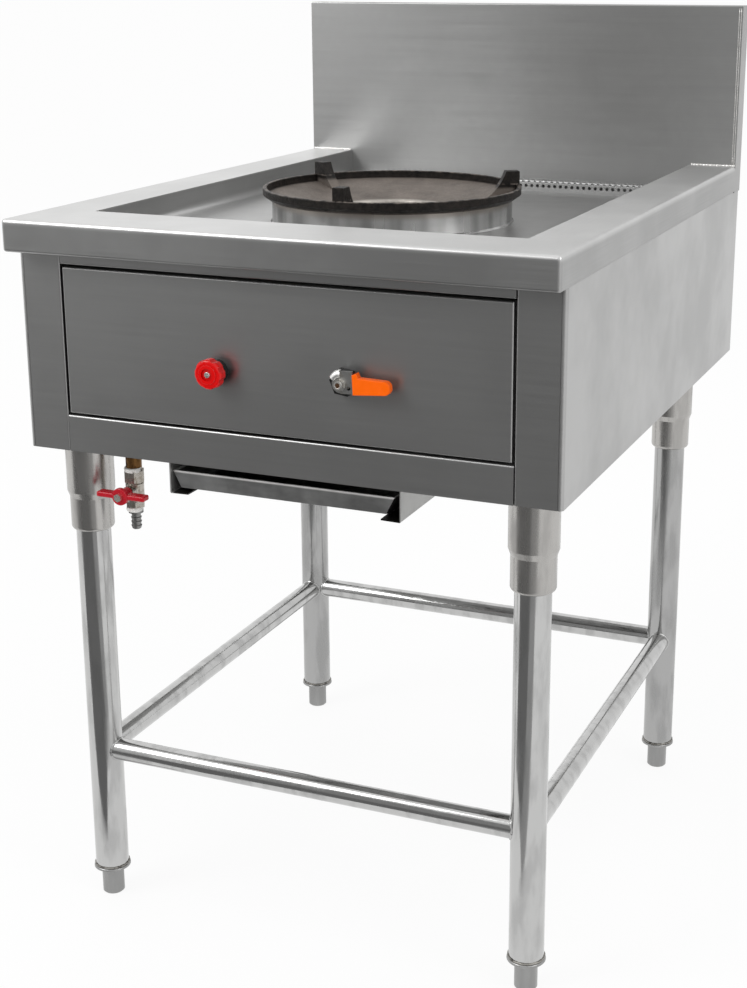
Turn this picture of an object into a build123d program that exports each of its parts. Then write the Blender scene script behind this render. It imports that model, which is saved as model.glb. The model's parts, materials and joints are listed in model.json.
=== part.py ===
from build123d import *

import os
from math import cos, radians, sin

# Single-burner wok range on a tubular stand.
#
# Lengths are in millimetres. +X is to the right of someone who faces the front, +Y runs from the front
# to the back and +Z is up. While the pieces are made, Y is 0 at the front face of the rim and Z is 0 on
# the floor. At the end every piece moves forward by ORIGIN_Y, which puts the origin on the floor in the
# middle of the overall footprint.

# ---------------------------------------------------------------------------------------------------
# Driving dimensions
# ---------------------------------------------------------------------------------------------------

# Overall
WIDTH = 600.0  # over the rim
DEPTH = 768.0  # front of the rim to the back of the splashback
WORKTOP_HEIGHT = 800.0  # floor to the top of the rim
SPLASH_RISE = 200.0  # top of the rim to the top of the splashback
BODY_HEIGHT = 248.0  # underside of the cabinet to the top of the rim
SHEET = 1.5  # stainless sheet of the top and the cabinet

# Rim around the sunken deck
RIM_HEIGHT = 34.0
RIM_FRONT_WIDTH = 84.0
RIM_SIDE_WIDTH = 59.5
RIM_FOLD = 4.0  # outside radius of the folds
RIM_RETURN = 10.0  # lip folded in under the front apron
RIM_BOTTOM_FOLD = 3.0
SPLASH_THICKNESS = 32.0

# Sunken deck and its gutter
DECK_DROP = 27.0  # top of the rim to the level part of the deck
DECK_FALL = 15.5  # level part of the deck down to the ledge at the gutter
DECK_FOLD = 9.0  # inside radius of the folds
DECK_FLAT_BEHIND_COLLAR = 13.0
LEDGE_DEPTH = 31.0  # level ledge that ends at the gutter
GUTTER_SLOT = 17.0  # open width from the ledge to the splashback
TROUGH_WIDTH = 36.0
TROUGH_DROP = 40.0  # ledge to the floor of the trough
TROUGH_END_MARGIN = 2.0  # trough ends to the sides of the deck

# Perforated strainer over the gutter
STRAINER_SHEET = 1.2
STRAINER_RISE = 14.5
STRAINER_DEPTH = 19.5
STRAINER_FOLD = 1.8  # outside radius of the folds
STRAINER_SIDE_PLAY = 1.0
STRAINER_BACK_PLAY = 0.5
STRAINER_HOLE = 4.4
STRAINER_PITCH = 8.0
STRAINER_ROW_STEP = 6.9
STRAINER_END_MARGIN = 8.0

# Burner collar and wok ring
BURNER_Y = 317.0  # front of the rim to the burner's centre
COLLAR_RADIUS = 135.0
COLLAR_WALL = 2.0
COLLAR_HEIGHT = 24.5
COLLAR_LEDGE = 2.0  # deck showing inside the collar
WELD_BEAD = 2.0
RING_RADIUS = 145.0
RING_LIP_WALL = 4.5
RING_LIP_RISE = 13.5  # collar top to the top of the lip
RING_BEVEL_RISE = 5.7
RING_BEVEL_RUN = 8.0
RING_DISH_THICKNESS = 7.0
RING_DISH_FALL = 18.0
RING_HOLE_RADIUS = 65.0
RING_HOLE_ROUND = 2.8
RING_SPIGOT_PLAY = 1.5  # ring's shoulder inside the collar
LUG_COUNT = 3
LUG_FIRST_ANGLE = 30.0
LUG_THICKNESS = 13.0
LUG_RISE = 28.0  # collar top to the top of a lug
LUG_FOOT_RADIUS = 106.0
LUG_WAIST_RADIUS = 119.0
LUG_WAIST_RISE = 9.5
LUG_TOP_RADIUS = 129.0
LUG_EDGE = 1.2

# Cabinet front
BODY_SETBACK = 26.0
POST_WIDTH = 49.0
POST_DEPTH = 14.0
POST_LIP = 14.0
LOWER_RAIL_HEIGHT = 39.5
UPPER_RAIL_SHOWN = 13.5  # upper rail below the apron
PANEL_GAP = 2.5
SEAM_GAP = 0.6
FOLD_RADIUS = 2.0  # outside radius of the folds that show at the front
CORNER_FOLD = 4.0  # outside radius of the side panels' front folds
CORNER_LIP = 5.0
CORNER_SEAM = 0.3
SIDE_BACK_FLANGE = 20.0
SIDE_TOP_FLANGE = 18.0
SIDE_TOP_CORNER = 3.0  # cut off the fold below the rim's own fold

# Base sheet with the opening above the drip tray
BASE_OPENING_WIDTH = 210.0
BASE_OPENING_FRONT = 137.0
BASE_OPENING_LENGTH = 360.0

# Drip tray and its rails
RAIL_SPAN = 262.0  # over the two rails
RAIL_SHIFT = -1.5  # middle of the rails, off the middle of the range
RAIL_DROP = 35.0
RAIL_FLANGE = 21.5
RAIL_FLANGE_RISE = 0.5  # slope of the bottom flange up to its inner edge
RAIL_SETBACK = 6.0  # behind the cabinet front
RAIL_LENGTH = 500.0
RAIL_FOLD = 1.4
TRAY_SHEET = 1.2
TRAY_SHIFT = -3.0  # middle of the tray, off the middle of the rails
TRAY_TOP_WIDTH = 251.6
TRAY_FLOOR_WIDTH = 229.0
TRAY_DEPTH = 22.0
TRAY_LIP_RISE = 4.0  # floor to the lower edge of the front face
TRAY_LIP_SLOPE = 16.0  # length of the sloping floor behind the front face
TRAY_HEM_RADIUS = 1.6  # rolled upper edge of the front face
TRAY_LENGTH = 480.0
TRAY_SETBACK = 4.0  # behind the rail fronts
TRAY_PLAY = 0.3

# Stand
LEG_INSET = 42.5  # side of the cabinet to a leg's axis
LEG_FRONT_INSET = 45.0
LEG_BACK_INSET = 143.0
LEG_RADIUS = 19.0
LEG_WALL = 1.5
SOCKET_RADIUS = 26.0
SOCKET_LOWER_RADIUS = 23.5
SOCKET_UPPER_LENGTH = 55.6
SOCKET_TAPER = 7.0
SOCKET_LENGTH = 100.2
SOCKET_MOUTH = 8.0  # rounding at the mouth
SOCKET_TOP_PLATE = 3.0
STRETCHER_HEIGHT = 185.0
STRETCHER_RADIUS = 12.5
STRETCHER_WALL = 1.2
FERRULE_RADIUS = 21.0
FERRULE_FLANGE = 3.0
FERRULE_ROUND = 2.4
FERRULE_PLUG = 25.0
FOOT_HEIGHT = 34.0
FOOT_RADIUS = 12.5
FOOT_STEM_RADIUS = 6.0
FOOT_STEM_LENGTH = 60.0
FOOT_CHAMFER = 1.5

# Splashback and rear panel
SPLASH_SKIRT = 50.0  # front skin below the box, behind the gutter

# Burner
CHAMBER_WALL = 1.5
CHAMBER_RADIUS = 129.5
CHAMBER_FLANGE = 12.0
CHAMBER_DEPTH = 41.5
BURNER_DROP = 23.0  # deck down to the top of the burner
BURNER_HEIGHT = 66.0
BURNER_HEAD_RADIUS = 55.0
BURNER_HEAD_DEPTH = 20.0
BURNER_NECK_RADIUS = 34.0
BURNER_WALL = 6.0
BURNER_INLET_RISE = 22.0
BURNER_JETS = 12
BURNER_JET_RADIUS = 2.0
BURNER_JET_CIRCLE = 38.0
MIXER_RADIUS = 15.0
MIXER_BORE = 12.0
MIXER_FRONT = 150.0
MIXER_BELL_RADIUS = 24.0
MIXER_BELL_LENGTH = 22.0
INJECTOR_LENGTH = 28.0
INJECTOR_FLATS = 24.0
INJECTOR_TIP_RADIUS = 5.0
INJECTOR_TIP_LENGTH = 12.0
INJECTOR_ORIFICE = 1.0
INJECTOR_AIR_GAP = 4.0  # hexagon's back to the mixer's bell
BRACKET_HALF_SPAN = 152.0
BRACKET_WIDTH = 30.0
BRACKET_PLATE = 3.0
BRACKET_FOOT = 18.0

# Gas pipes and the main gas valve
PIPE_RADIUS = 10.65
PIPE_BORE = 8.0
PIPE_BEND = 20.0
INLET_DROP = 56.0  # axis of the gas valve down to the inlet pipe
INLET_PROUD = 32.0  # pipe end behind the cabinet
INLET_THREAD_RADIUS = 10.45
INLET_THREAD_LENGTH = 18.0
PORT_FIT = 0.05  # pipe in a threaded port
TAP_DROP = 110.0  # apron down to the axes of both valves
GAS_TAP_X = 75.0
GAS_TAP_RISE = 2.6  # gas valve above the pilot valve
VALVE_SETBACK = 30.0  # panel front to a valve's flow axis
VALVE_HALF_LENGTH = 25.0
VALVE_HEX_LENGTH = 11.0
VALVE_FLATS = 27.0
VALVE_BARREL_RADIUS = 14.5
VALVE_BALL_RADIUS = 11.0
VALVE_BORE = 7.0
BALL_PLAY = 0.3
GLAND_SHOULDER_RADIUS = 12.0
GLAND_RADIUS = 9.0
GLAND_PROUD = 12.0
HOLE_PLAY = 0.4
STEM_RADIUS = 4.0
STEM_PLAY = 0.05
LEVER_REST_ANGLE = 2.7  # tip above the horizontal
LEVER_PLATE = 2.2
LEVER_GAP = 0.5  # gland to the lever plate
LEVER_EYE_RADIUS = 8.8
LEVER_TOP = 13.2
LEVER_BOTTOM = 9.5
LEVER_SHANK_HALF = 4.0
LEVER_SHANK_END = 46.0
LEVER_HOLE_X = 8.9
LEVER_HOLE_Z = -3.9
LEVER_HOLE_RADIUS = 1.9
STOP_TAB_WIDTH = 10.0
STOP_TAB_REACH = 6.0  # lever plate back towards the panel
STOP_TAB_ANGLE = 35.0
STOP_TAB_BEND = 3.4
SLEEVE_START = 13.5
SLEEVE_END = 53.3
SLEEVE_START_TOP = 7.6
SLEEVE_START_BOTTOM = 10.2
SLEEVE_END_TOP = 4.7
SLEEVE_END_BOTTOM = 8.8
SLEEVE_END_ROUND = 6.3
SLEEVE_THICKNESS = 7.2
SLEEVE_EDGE = 1.5
SLEEVE_SHOULDER = 4.4
SLEEVE_SHOULDER_LENGTH = 5.0
SLEEVE_FIT = 0.05
LEVER_NUT_FLATS = 10.0
LEVER_NUT_HEIGHT = 5.0
LEVER_NUT_FLANGE_RADIUS = 6.3
LEVER_NUT_FLANGE = 1.4
STEM_END_PROUD = 1.0

# Pilot valve, tubes and knob
PILOT_X = -68.2
PILOT_BODY_RADIUS = 9.0
PILOT_HALF_LENGTH = 17.0
PILOT_BORE = 3.0
PILOT_COLLAR_RADIUS = 12.5
PILOT_COLLAR_LENGTH = 9.5
PILOT_COLLAR_CHAMFER = 0.8
PILOT_NECK_RADIUS = 6.0
NEEDLE_RADIUS = 3.0
NEEDLE_TIP = 5.0
NEEDLE_POINT_RADIUS = 0.75
KNOB_RADIUS = 15.6
KNOB_SCALLOPS = 8
KNOB_SCALLOP_RADIUS = 4.8
KNOB_SCALLOP_DEPTH = 1.7
KNOB_THICKNESS = 11.0
KNOB_GAP = 0.3
KNOB_FACE_RADIUS = 10.0
KNOB_DISH_RADIUS = 6.5
KNOB_DISH_DEPTH = 2.0
KNOB_EDGE = 3.6
KNOB_HUB_DEPTH = 7.0  # stem inside the knob
KNOB_FIT = 0.05
SCREW_HEAD_RADIUS = 3.0
SCREW_HEAD_HEIGHT = 2.0
SCREW_SHANK_RADIUS = 1.4
SCREW_SHANK_LENGTH = 2.5
SCREW_SLOT = 0.8
SMALL_TUBE_RADIUS = 4.0
SMALL_TUBE_BORE = 3.0
SMALL_TUBE_BEND = 14.0
BRANCH_Y = 110.0
BRANCH_SADDLE_RADIUS = 7.0
BRANCH_SADDLE_LENGTH = 8.0
PILOT_RUN_CLEARANCE = 12.0  # flame guard down to the pilot tube's run
PILOT_TIP_DROP = 2.0  # top of the burner down to the pilot flame
PILOT_TIP_RADIUS = 5.5
PILOT_TIP_LENGTH = 12.0

# Gutter drain and its tap
DRAIN_FROM_LEG = 61.5  # front left leg to the drain, between their axes
DRAIN_TAP_Y = 62.0
DRAIN_RADIUS = 8.6
DRAIN_BORE = 6.3
DRAIN_BEND = 30.0
DRAIN_KNEE_BELOW_TROUGH = 66.0
DRAIN_RUN_END_RISE = 48.0  # cabinet floor up to the drain's front knee
DRAIN_NIPPLE_LENGTH = 25.2  # cabinet down to the tap
DRAIN_HEX_HEIGHT = 12.2
DRAIN_HEX_FLATS = 20.5
DRAIN_NECK_RADIUS = 8.6
DRAIN_NECK_HEIGHT = 2.2
DRAIN_BODY_RADIUS = 9.9
DRAIN_LOWER_HEX_HEIGHT = 6.5
DRAIN_LOWER_HEX_FLATS = 18.8
DRAIN_BODY_HEIGHT = 40.8
DRAIN_THREAD = 10.0  # pipe screwed into the tap
DRAIN_AXIS_DROP = 21.7  # tap top to the ball
DRAIN_BALL_RADIUS = 7.0
DRAIN_BALL_BORE = 4.5
DRAIN_BOSS_RADIUS = 6.8
DRAIN_BOSS_REACH = 15.0
DRAIN_STEM_RADIUS = 3.0
HANDLE_GAP = 0.3
HANDLE_NECK_RADIUS = 6.5
HANDLE_NECK_LENGTH = 11.7
HANDLE_HUB_RADIUS = 9.4
HANDLE_HUB_LENGTH = 5.0
HANDLE_HUB_ROUND = 1.25
HANDLE_HALF_SPAN = 29.4
HANDLE_WING_DEPTH = 12.0
HANDLE_WING_THICKNESS = 6.0
HANDLE_WING_ROUND = 2.0
HANDLE_FACE = 1.0  # hub face ahead of the wings
HANDLE_NUT_FLATS = 8.0
HANDLE_NUT_HEIGHT = 4.0
BARB_RADIUS = 4.9
BARB_BORE = 3.2
BARB_RIB = 0.9
BARB_RIBS = 3
BARB_SLOPE_SHARE = 0.8  # end of a rib's slope, as a share of the pitch
BARB_LENGTH = 18.5
BARB_THREAD_RADIUS = 8.0
BARB_COLLAR_HEIGHT = 7.0
BARB_THREAD_LENGTH = 9.0

# Screws of the rear panel
SCREW_INSET = 10.0
REAR_SCREW_HEAD_RADIUS = 4.0
REAR_SCREW_HEAD_HEIGHT = 2.2
REAR_SCREW_RADIUS = 2.0
REAR_SCREW_LENGTH = 6.0
REAR_SCREW_END_MARGIN = 25.0
REAR_SCREWS_PER_SIDE = 3

# ---------------------------------------------------------------------------------------------------
# Derived places
# ---------------------------------------------------------------------------------------------------

ORIGIN_Y = (DEPTH + INLET_PROUD) / 2
OVERALL_HEIGHT = WORKTOP_HEIGHT + SPLASH_RISE
CABINET_BOTTOM = WORKTOP_HEIGHT - BODY_HEIGHT
SPLASH_FRONT = DEPTH - SPLASH_THICKNESS
RIM_UNDERSIDE = WORKTOP_HEIGHT - SHEET
APRON_BOTTOM = WORKTOP_HEIGHT - RIM_HEIGHT
WELL_HALF = WIDTH / 2 - RIM_SIDE_WIDTH
DECK_TOP = WORKTOP_HEIGHT - DECK_DROP
LEDGE_TOP = DECK_TOP - DECK_FALL
LEDGE_END = SPLASH_FRONT - GUTTER_SLOT
STRAINER_CORNER = DECK_FOLD  # cut off the strainer's lower corners to clear the deck's folds
LEDGE_START = LEDGE_END - LEDGE_DEPTH
DECK_FLAT_END = BURNER_Y + COLLAR_RADIUS + DECK_FLAT_BEHIND_COLLAR
TROUGH_FLOOR = LEDGE_TOP - TROUGH_DROP
TROUGH_HALF = WELL_HALF - TROUGH_END_MARGIN
COLLAR_BORE = COLLAR_RADIUS - COLLAR_WALL
COLLAR_TOP = DECK_TOP + COLLAR_HEIGHT
BODY_HALF = WIDTH / 2 - SHEET
BODY_INSIDE = BODY_HALF - SHEET
POST_INNER = BODY_HALF - POST_WIDTH
LOWER_RAIL_TOP = CABINET_BOTTOM + LOWER_RAIL_HEIGHT
PANEL_BOTTOM = LOWER_RAIL_TOP + PANEL_GAP
UPPER_RAIL_BOTTOM = APRON_BOTTOM - UPPER_RAIL_SHOWN
PANEL_TOP = UPPER_RAIL_BOTTOM - PANEL_GAP
BASE_TOP = CABINET_BOTTOM + SHEET
TRAY_FLOOR = CABINET_BOTTOM - RAIL_DROP + SHEET + RAIL_FLANGE_RISE + TRAY_PLAY
RAIL_FRONT = BODY_SETBACK + RAIL_SETBACK
TRAY_FRONT = RAIL_FRONT + TRAY_SETBACK
LEG_X = BODY_HALF - LEG_INSET
DRAIN_X = DRAIN_FROM_LEG - LEG_X
LEG_FRONT_Y = BODY_SETBACK + LEG_FRONT_INSET
LEG_BACK_Y = DEPTH - LEG_BACK_INSET
LEG_SPOTS = {
    "front_left": (-LEG_X, LEG_FRONT_Y),
    "front_right": (LEG_X, LEG_FRONT_Y),
    "rear_left": (-LEG_X, LEG_BACK_Y),
    "rear_right": (LEG_X, LEG_BACK_Y),
}
LEG_TOP = CABINET_BOTTOM - SOCKET_TOP_PLATE
LEG_BOTTOM = FOOT_HEIGHT + FERRULE_FLANGE
CHAMBER_TOP = DECK_TOP - SHEET
CHAMBER_BOTTOM = CHAMBER_TOP - CHAMBER_DEPTH
TAP_HEIGHT = APRON_BOTTOM - TAP_DROP
GAS_TAP_HEIGHT = TAP_HEIGHT + GAS_TAP_RISE
INLET_HEIGHT = TAP_HEIGHT - INLET_DROP
BURNER_TOP = DECK_TOP - BURNER_DROP
BURNER_BASE = BURNER_TOP - BURNER_HEIGHT
VALVE_Y = BODY_SETBACK + VALVE_SETBACK
GLAND_FRONT = BODY_SETBACK - GLAND_PROUD
LEVER_BACK = GLAND_FRONT - LEVER_GAP
LEVER_FRONT = LEVER_BACK - LEVER_PLATE
BURNER_INLET = BURNER_BASE + BURNER_INLET_RISE
INJECTOR_BACK = MIXER_FRONT - INJECTOR_AIR_GAP
INJECTOR_FRONT = INJECTOR_BACK - INJECTOR_LENGTH
KNOB_BACK = BODY_SETBACK - PILOT_COLLAR_LENGTH - KNOB_GAP
KNOB_FRONT = KNOB_BACK - KNOB_THICKNESS
DRAIN_TAP_TOP = CABINET_BOTTOM - DRAIN_NIPPLE_LENGTH
DRAIN_AXIS = DRAIN_TAP_TOP - DRAIN_AXIS_DROP
DRAIN_TAP_BOTTOM = DRAIN_TAP_TOP - DRAIN_BODY_HEIGHT
HANDLE_BACK = DRAIN_TAP_Y - DRAIN_BOSS_REACH - HANDLE_GAP
HANDLE_FRONT = HANDLE_BACK - HANDLE_NECK_LENGTH - HANDLE_HUB_LENGTH

# ---------------------------------------------------------------------------------------------------
# Shape helpers
# ---------------------------------------------------------------------------------------------------


TOUCH = 1e-3  # places closer than this count as the same


def block(x, y, z):
    """Box between the two ends given for each axis."""
    size = [abs(span[1] - span[0]) for span in (x, y, z)]
    middle = [(span[0] + span[1]) / 2 for span in (x, y, z)]
    return Pos(*middle) * Box(*size)


def rod_z(x, y, z, radius):
    """Upright cylinder over the range z."""
    return Pos(x, y, (z[0] + z[1]) / 2) * Cylinder(radius, abs(z[1] - z[0]))


def rod_y(x, y, z, radius):
    """Cylinder along Y over the range y."""
    return Pos(x, (y[0] + y[1]) / 2, z) * Rot(90, 0, 0) * Cylinder(radius, abs(y[1] - y[0]))


def rod_x(x, y, z, radius):
    """Cylinder along X over the range x."""
    return Pos((x[0] + x[1]) / 2, y, z) * Rot(0, 90, 0) * Cylinder(radius, abs(x[1] - x[0]))


def hexagon_y(x, y, z, flats):
    """Hexagonal bar along Y over the range y."""
    face = Plane(origin=(x, max(y), z), z_dir=(0, -1, 0)) * RegularPolygon(flats / 2, 6, major_radius=False)
    return extrude(face, abs(y[1] - y[0]))


def hexagon_z(x, y, z, flats):
    """Hexagonal bar along Z over the range z."""
    face = Pos(x, y, min(z)) * RegularPolygon(flats / 2, 6, major_radius=False)
    return extrude(face, abs(z[1] - z[0]))


def side_profile(points, x):
    """Outline of (y, z) points, extruded over the range x."""
    face = make_face(Polyline([(min(x), y, z) for y, z in points], close=True))
    return extrude(face, abs(x[1] - x[0]), dir=(1, 0, 0))


def front_profile(points, y):
    """Outline of (x, z) points, extruded over the range y."""
    face = make_face(Polyline([(x, min(y), z) for x, z in points], close=True))
    return extrude(face, abs(y[1] - y[0]), dir=(0, 1, 0))


def turned_z(points, x, y):
    """Outline of (radius, z) points turned about the upright line at x, y."""
    face = make_face(Polyline([(radius, 0, z) for radius, z in points], close=True))
    return Pos(x, y, 0) * revolve(face, Axis.Z)


def pipe(points, bend, radius, bore):
    """Bent pipe along a polyline whose corners are rounded."""
    path = FilletPolyline(*points, radius=bend)
    start = Plane(origin=path @ 0, z_dir=path % 0)
    return sweep(start * Circle(radius), path=path) - sweep(start * Circle(bore), path=path)


def folded_edges(shape, along, x, y):
    """Edges of a shape along one axis whose middle lies at the given x and y."""
    return shape.edges().filter_by(along).filter_by(
        lambda edge: abs(edge.center().X - x) < TOUCH and abs(edge.center().Y - y) < TOUCH
    )


def mirrored(shape):
    """The same piece on the other side of the middle."""
    return mirror(shape, about=Plane.YZ)


# ---------------------------------------------------------------------------------------------------
# Top: rim, deck, gutter, strainer, splashback
# ---------------------------------------------------------------------------------------------------


def hob_rim():
    """Folded frame with an apron at the front and both sides, open to the splashback."""
    outside = block((-WIDTH / 2, WIDTH / 2), (0, SPLASH_FRONT), (APRON_BOTTOM, WORKTOP_HEIGHT))
    front_edges = outside.edges().group_by(Axis.Y)[0]
    top_edges = outside.edges().filter_by(Axis.Y).group_by(Axis.Z)[-1]
    outside = fillet(front_edges.group_by(Axis.Z)[1] + front_edges.group_by(Axis.Z)[2] + top_edges, RIM_FOLD)
    bottom_edges = outside.edges().group_by(Axis.Z)[0]
    folded_bottom = bottom_edges.filter_by(lambda edge: edge.center().Y < SPLASH_FRONT - SHEET)
    outside = fillet(folded_bottom, RIM_BOTTOM_FOLD)
    open_back = SPLASH_FRONT + SHEET
    inside = block((-BODY_HALF, BODY_HALF), (SHEET, open_back), (APRON_BOTTOM + SHEET, RIM_UNDERSIDE))
    inside_front = inside.edges().group_by(Axis.Y)[0]
    inside_top = inside.edges().filter_by(Axis.Y).group_by(Axis.Z)[-1]
    inside = fillet(inside_front + inside_top, RIM_FOLD - SHEET)
    open_height = (APRON_BOTTOM - SHEET, APRON_BOTTOM + RIM_FOLD)
    underside = block((-BODY_HALF, BODY_HALF), (RIM_RETURN, open_back), open_height)
    well_height = (APRON_BOTTOM, WORKTOP_HEIGHT + SHEET)
    well = block((-WELL_HALF, WELL_HALF), (RIM_FRONT_WIDTH, open_back), well_height)
    return outside - inside - underside - well


def deck_prism(grow, top):
    """Space inside the deck, or with grow the outside of its sheet, up to the level top."""
    points = [
        (RIM_FRONT_WIDTH - grow, top),
        (RIM_FRONT_WIDTH - grow, DECK_TOP - grow),
        (DECK_FLAT_END, DECK_TOP - grow),
        (LEDGE_START, LEDGE_TOP - grow),
        (SPLASH_FRONT, LEDGE_TOP - grow),
        (SPLASH_FRONT, top),
    ]
    half = WELL_HALF + grow
    prism = side_profile(points, (-half, half))
    upright_front = prism.edges().filter_by(Axis.Z).group_by(Axis.Y)[0]
    front_bottom = prism.edges().filter_by(Axis.X).group_by(Axis.Y)[0].group_by(Axis.Z)[0]
    floors = prism.faces().filter_by(lambda face: face.normal_at().Z < -TOUCH)
    side_bottoms = floors.edges().filter_by(lambda edge: abs(abs(edge.center().X) - half) < TOUCH)
    return fillet(upright_front + front_bottom + side_bottoms, DECK_FOLD + grow)


def hob_deck():
    """Sunken pan: level round the burner, then falling to a ledge at the gutter."""
    pan = deck_prism(SHEET, RIM_UNDERSIDE) - deck_prism(0, RIM_UNDERSIDE)
    slot_height = (LEDGE_TOP - 2 * SHEET, LEDGE_TOP + SHEET)
    slot = block((-TROUGH_HALF, TROUGH_HALF), (LEDGE_END, SPLASH_FRONT), slot_height)
    burner_hole = rod_z(0, BURNER_Y, (DECK_TOP - 2 * SHEET, DECK_TOP + SHEET), COLLAR_BORE - COLLAR_LEDGE)
    return pan - slot - burner_hole


def gutter_trough():
    """Folded channel under the ledge, with the drain hole in its floor."""
    front = SPLASH_FRONT - TROUGH_WIDTH
    ledge_underside = LEDGE_TOP - SHEET
    floor = (TROUGH_FLOOR - SHEET, TROUGH_FLOOR)
    outside = block((-TROUGH_HALF, TROUGH_HALF), (front, SPLASH_FRONT), (floor[0], ledge_underside))
    inside = block(
        (-TROUGH_HALF + SHEET, TROUGH_HALF - SHEET),
        (front + SHEET, SPLASH_FRONT - SHEET),
        (TROUGH_FLOOR, LEDGE_TOP),
    )
    back = (SPLASH_FRONT - SHEET, SPLASH_FRONT)
    back_lip = block((-TROUGH_HALF, TROUGH_HALF), back, (ledge_underside, LEDGE_TOP))
    drain = rod_z(DRAIN_X, front + TROUGH_WIDTH / 2, floor, DRAIN_BORE)
    return outside + back_lip - inside - drain


def strainer_holes(count_shift, place, tilt):
    """One row of round holes at the pitch, shifted by part of a pitch."""
    half = WELL_HALF - STRAINER_SIDE_PLAY - STRAINER_END_MARGIN
    count = int(2 * half // STRAINER_PITCH)
    start = -STRAINER_PITCH * (count - 1) / 2 + count_shift * STRAINER_PITCH
    punch = Rot(tilt, 0, 0) * Cylinder(STRAINER_HOLE / 2, 3 * STRAINER_SHEET)
    spots = [start + step * STRAINER_PITCH for step in range(count)]
    return [Pos(x, *place) * punch for x in spots]


def gutter_strainer():
    """Perforated cover, folded to a channel, that stands over the gutter."""
    half = WELL_HALF - STRAINER_SIDE_PLAY
    back = SPLASH_FRONT - STRAINER_BACK_PLAY
    front = back - STRAINER_DEPTH
    top = LEDGE_TOP + STRAINER_RISE
    outside = block((-half, half), (front, back), (LEDGE_TOP, top))
    outside = fillet(outside.edges().filter_by(Axis.X).group_by(Axis.Z)[-1], STRAINER_FOLD)
    between = (front + STRAINER_SHEET, back - STRAINER_SHEET)
    inside = block((-half, half), between, (LEDGE_TOP, top - STRAINER_SHEET))
    corner = front_profile(
        [(half - STRAINER_CORNER, LEDGE_TOP), (half, LEDGE_TOP), (half, LEDGE_TOP + STRAINER_CORNER)],
        (front, back),
    )
    channel = outside - inside - corner - mirrored(corner)
    middle = STRAINER_SHEET / 2
    rows = strainer_holes(0, (front + middle, top - STRAINER_ROW_STEP), 90)
    rows += strainer_holes(0.5, (front + middle, top - middle), 45)
    rows += strainer_holes(0, (front + STRAINER_ROW_STEP, top - middle), 0)
    rows += strainer_holes(0.5, (front + 2 * STRAINER_ROW_STEP, top - middle), 0)
    return channel - rows


def backsplash():
    """Hollow splashback folded from sheet, with a skirt behind the gutter."""
    outside = block((-WIDTH / 2, WIDTH / 2), (SPLASH_FRONT, DEPTH), (APRON_BOTTOM, OVERALL_HEIGHT))
    outside = fillet(outside.edges().group_by(Axis.Z)[-1], SHEET)
    hollow = (SPLASH_FRONT + SHEET, DEPTH - SHEET)
    inside = block((-BODY_HALF, BODY_HALF), hollow, (APRON_BOTTOM, OVERALL_HEIGHT - SHEET))
    skirt_height = (APRON_BOTTOM - SPLASH_SKIRT, APRON_BOTTOM)
    skirt = block((-WELL_HALF, WELL_HALF), (SPLASH_FRONT, SPLASH_FRONT + SHEET), skirt_height)
    return outside - inside + skirt


# ---------------------------------------------------------------------------------------------------
# Collar and wok ring
# ---------------------------------------------------------------------------------------------------


def burner_collar():
    """Rolled stainless band welded to the deck, with its weld bead."""
    points = [
        (COLLAR_BORE, DECK_TOP),
        (COLLAR_RADIUS + WELD_BEAD, DECK_TOP),
        (COLLAR_RADIUS, DECK_TOP + WELD_BEAD),
        (COLLAR_RADIUS, COLLAR_TOP),
        (COLLAR_BORE, COLLAR_TOP),
    ]
    return turned_z(points, 0, BURNER_Y)


def dish_height(radius):
    """Top of the ring's dish at a radius."""
    lip_inside = RING_RADIUS - RING_LIP_WALL
    foot = COLLAR_TOP + RING_BEVEL_RISE
    return foot - RING_DISH_FALL * (lip_inside - radius) / (lip_inside - RING_HOLE_RADIUS)


def ring_body():
    """Turned part of the wok ring: lip, dish, hole and the shoulder that drops into the collar."""
    lip_inside = RING_RADIUS - RING_LIP_WALL
    lip_top = COLLAR_TOP + RING_LIP_RISE
    shoulder = COLLAR_BORE - RING_SPIGOT_PLAY
    points = [
        (RING_HOLE_RADIUS, dish_height(RING_HOLE_RADIUS)),
        (lip_inside, dish_height(lip_inside)),
        (lip_inside, lip_top),
        (RING_RADIUS, lip_top),
        (RING_RADIUS, COLLAR_TOP + RING_BEVEL_RISE),
        (RING_RADIUS - RING_BEVEL_RUN, COLLAR_TOP),
        (shoulder, COLLAR_TOP),
        (shoulder, dish_height(shoulder) - RING_DISH_THICKNESS),
        (RING_HOLE_RADIUS, dish_height(RING_HOLE_RADIUS) - RING_DISH_THICKNESS),
    ]
    body = turned_z(points, 0, 0)
    circles = body.edges().filter_by(GeomType.CIRCLE)
    hole_edges = circles.filter_by(lambda edge: edge.radius < RING_HOLE_RADIUS + LUG_EDGE)
    body = fillet(hole_edges, RING_HOLE_ROUND)
    return fillet(body.edges().group_by(Axis.Z)[-1], LUG_EDGE)


def ring_lug():
    """One wok rest: a fin that curves up from the dish and ends flush with the lip."""
    lug_top = COLLAR_TOP + LUG_RISE
    outer = RING_RADIUS - LUG_EDGE / 2
    foot = (LUG_FOOT_RADIUS, 0, dish_height(LUG_FOOT_RADIUS))
    waist = (LUG_WAIST_RADIUS, 0, COLLAR_TOP + LUG_WAIST_RISE)
    shoulder = (LUG_TOP_RADIUS, 0, lug_top)
    inner_edge = ThreePointArc(foot, waist, shoulder)
    rest = Polyline(
        shoulder,
        (outer, 0, lug_top),
        (outer, 0, COLLAR_TOP + RING_BEVEL_RISE),
        (LUG_FOOT_RADIUS, 0, dish_height(LUG_FOOT_RADIUS) - RING_DISH_THICKNESS / 2),
        foot,
    )
    fin = extrude(make_face(inner_edge + rest), LUG_THICKNESS / 2, dir=(0, 1, 0), both=True)
    top_edges = fin.edges().group_by(Axis.Z)[-1]
    return fillet(top_edges, LUG_EDGE)


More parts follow.
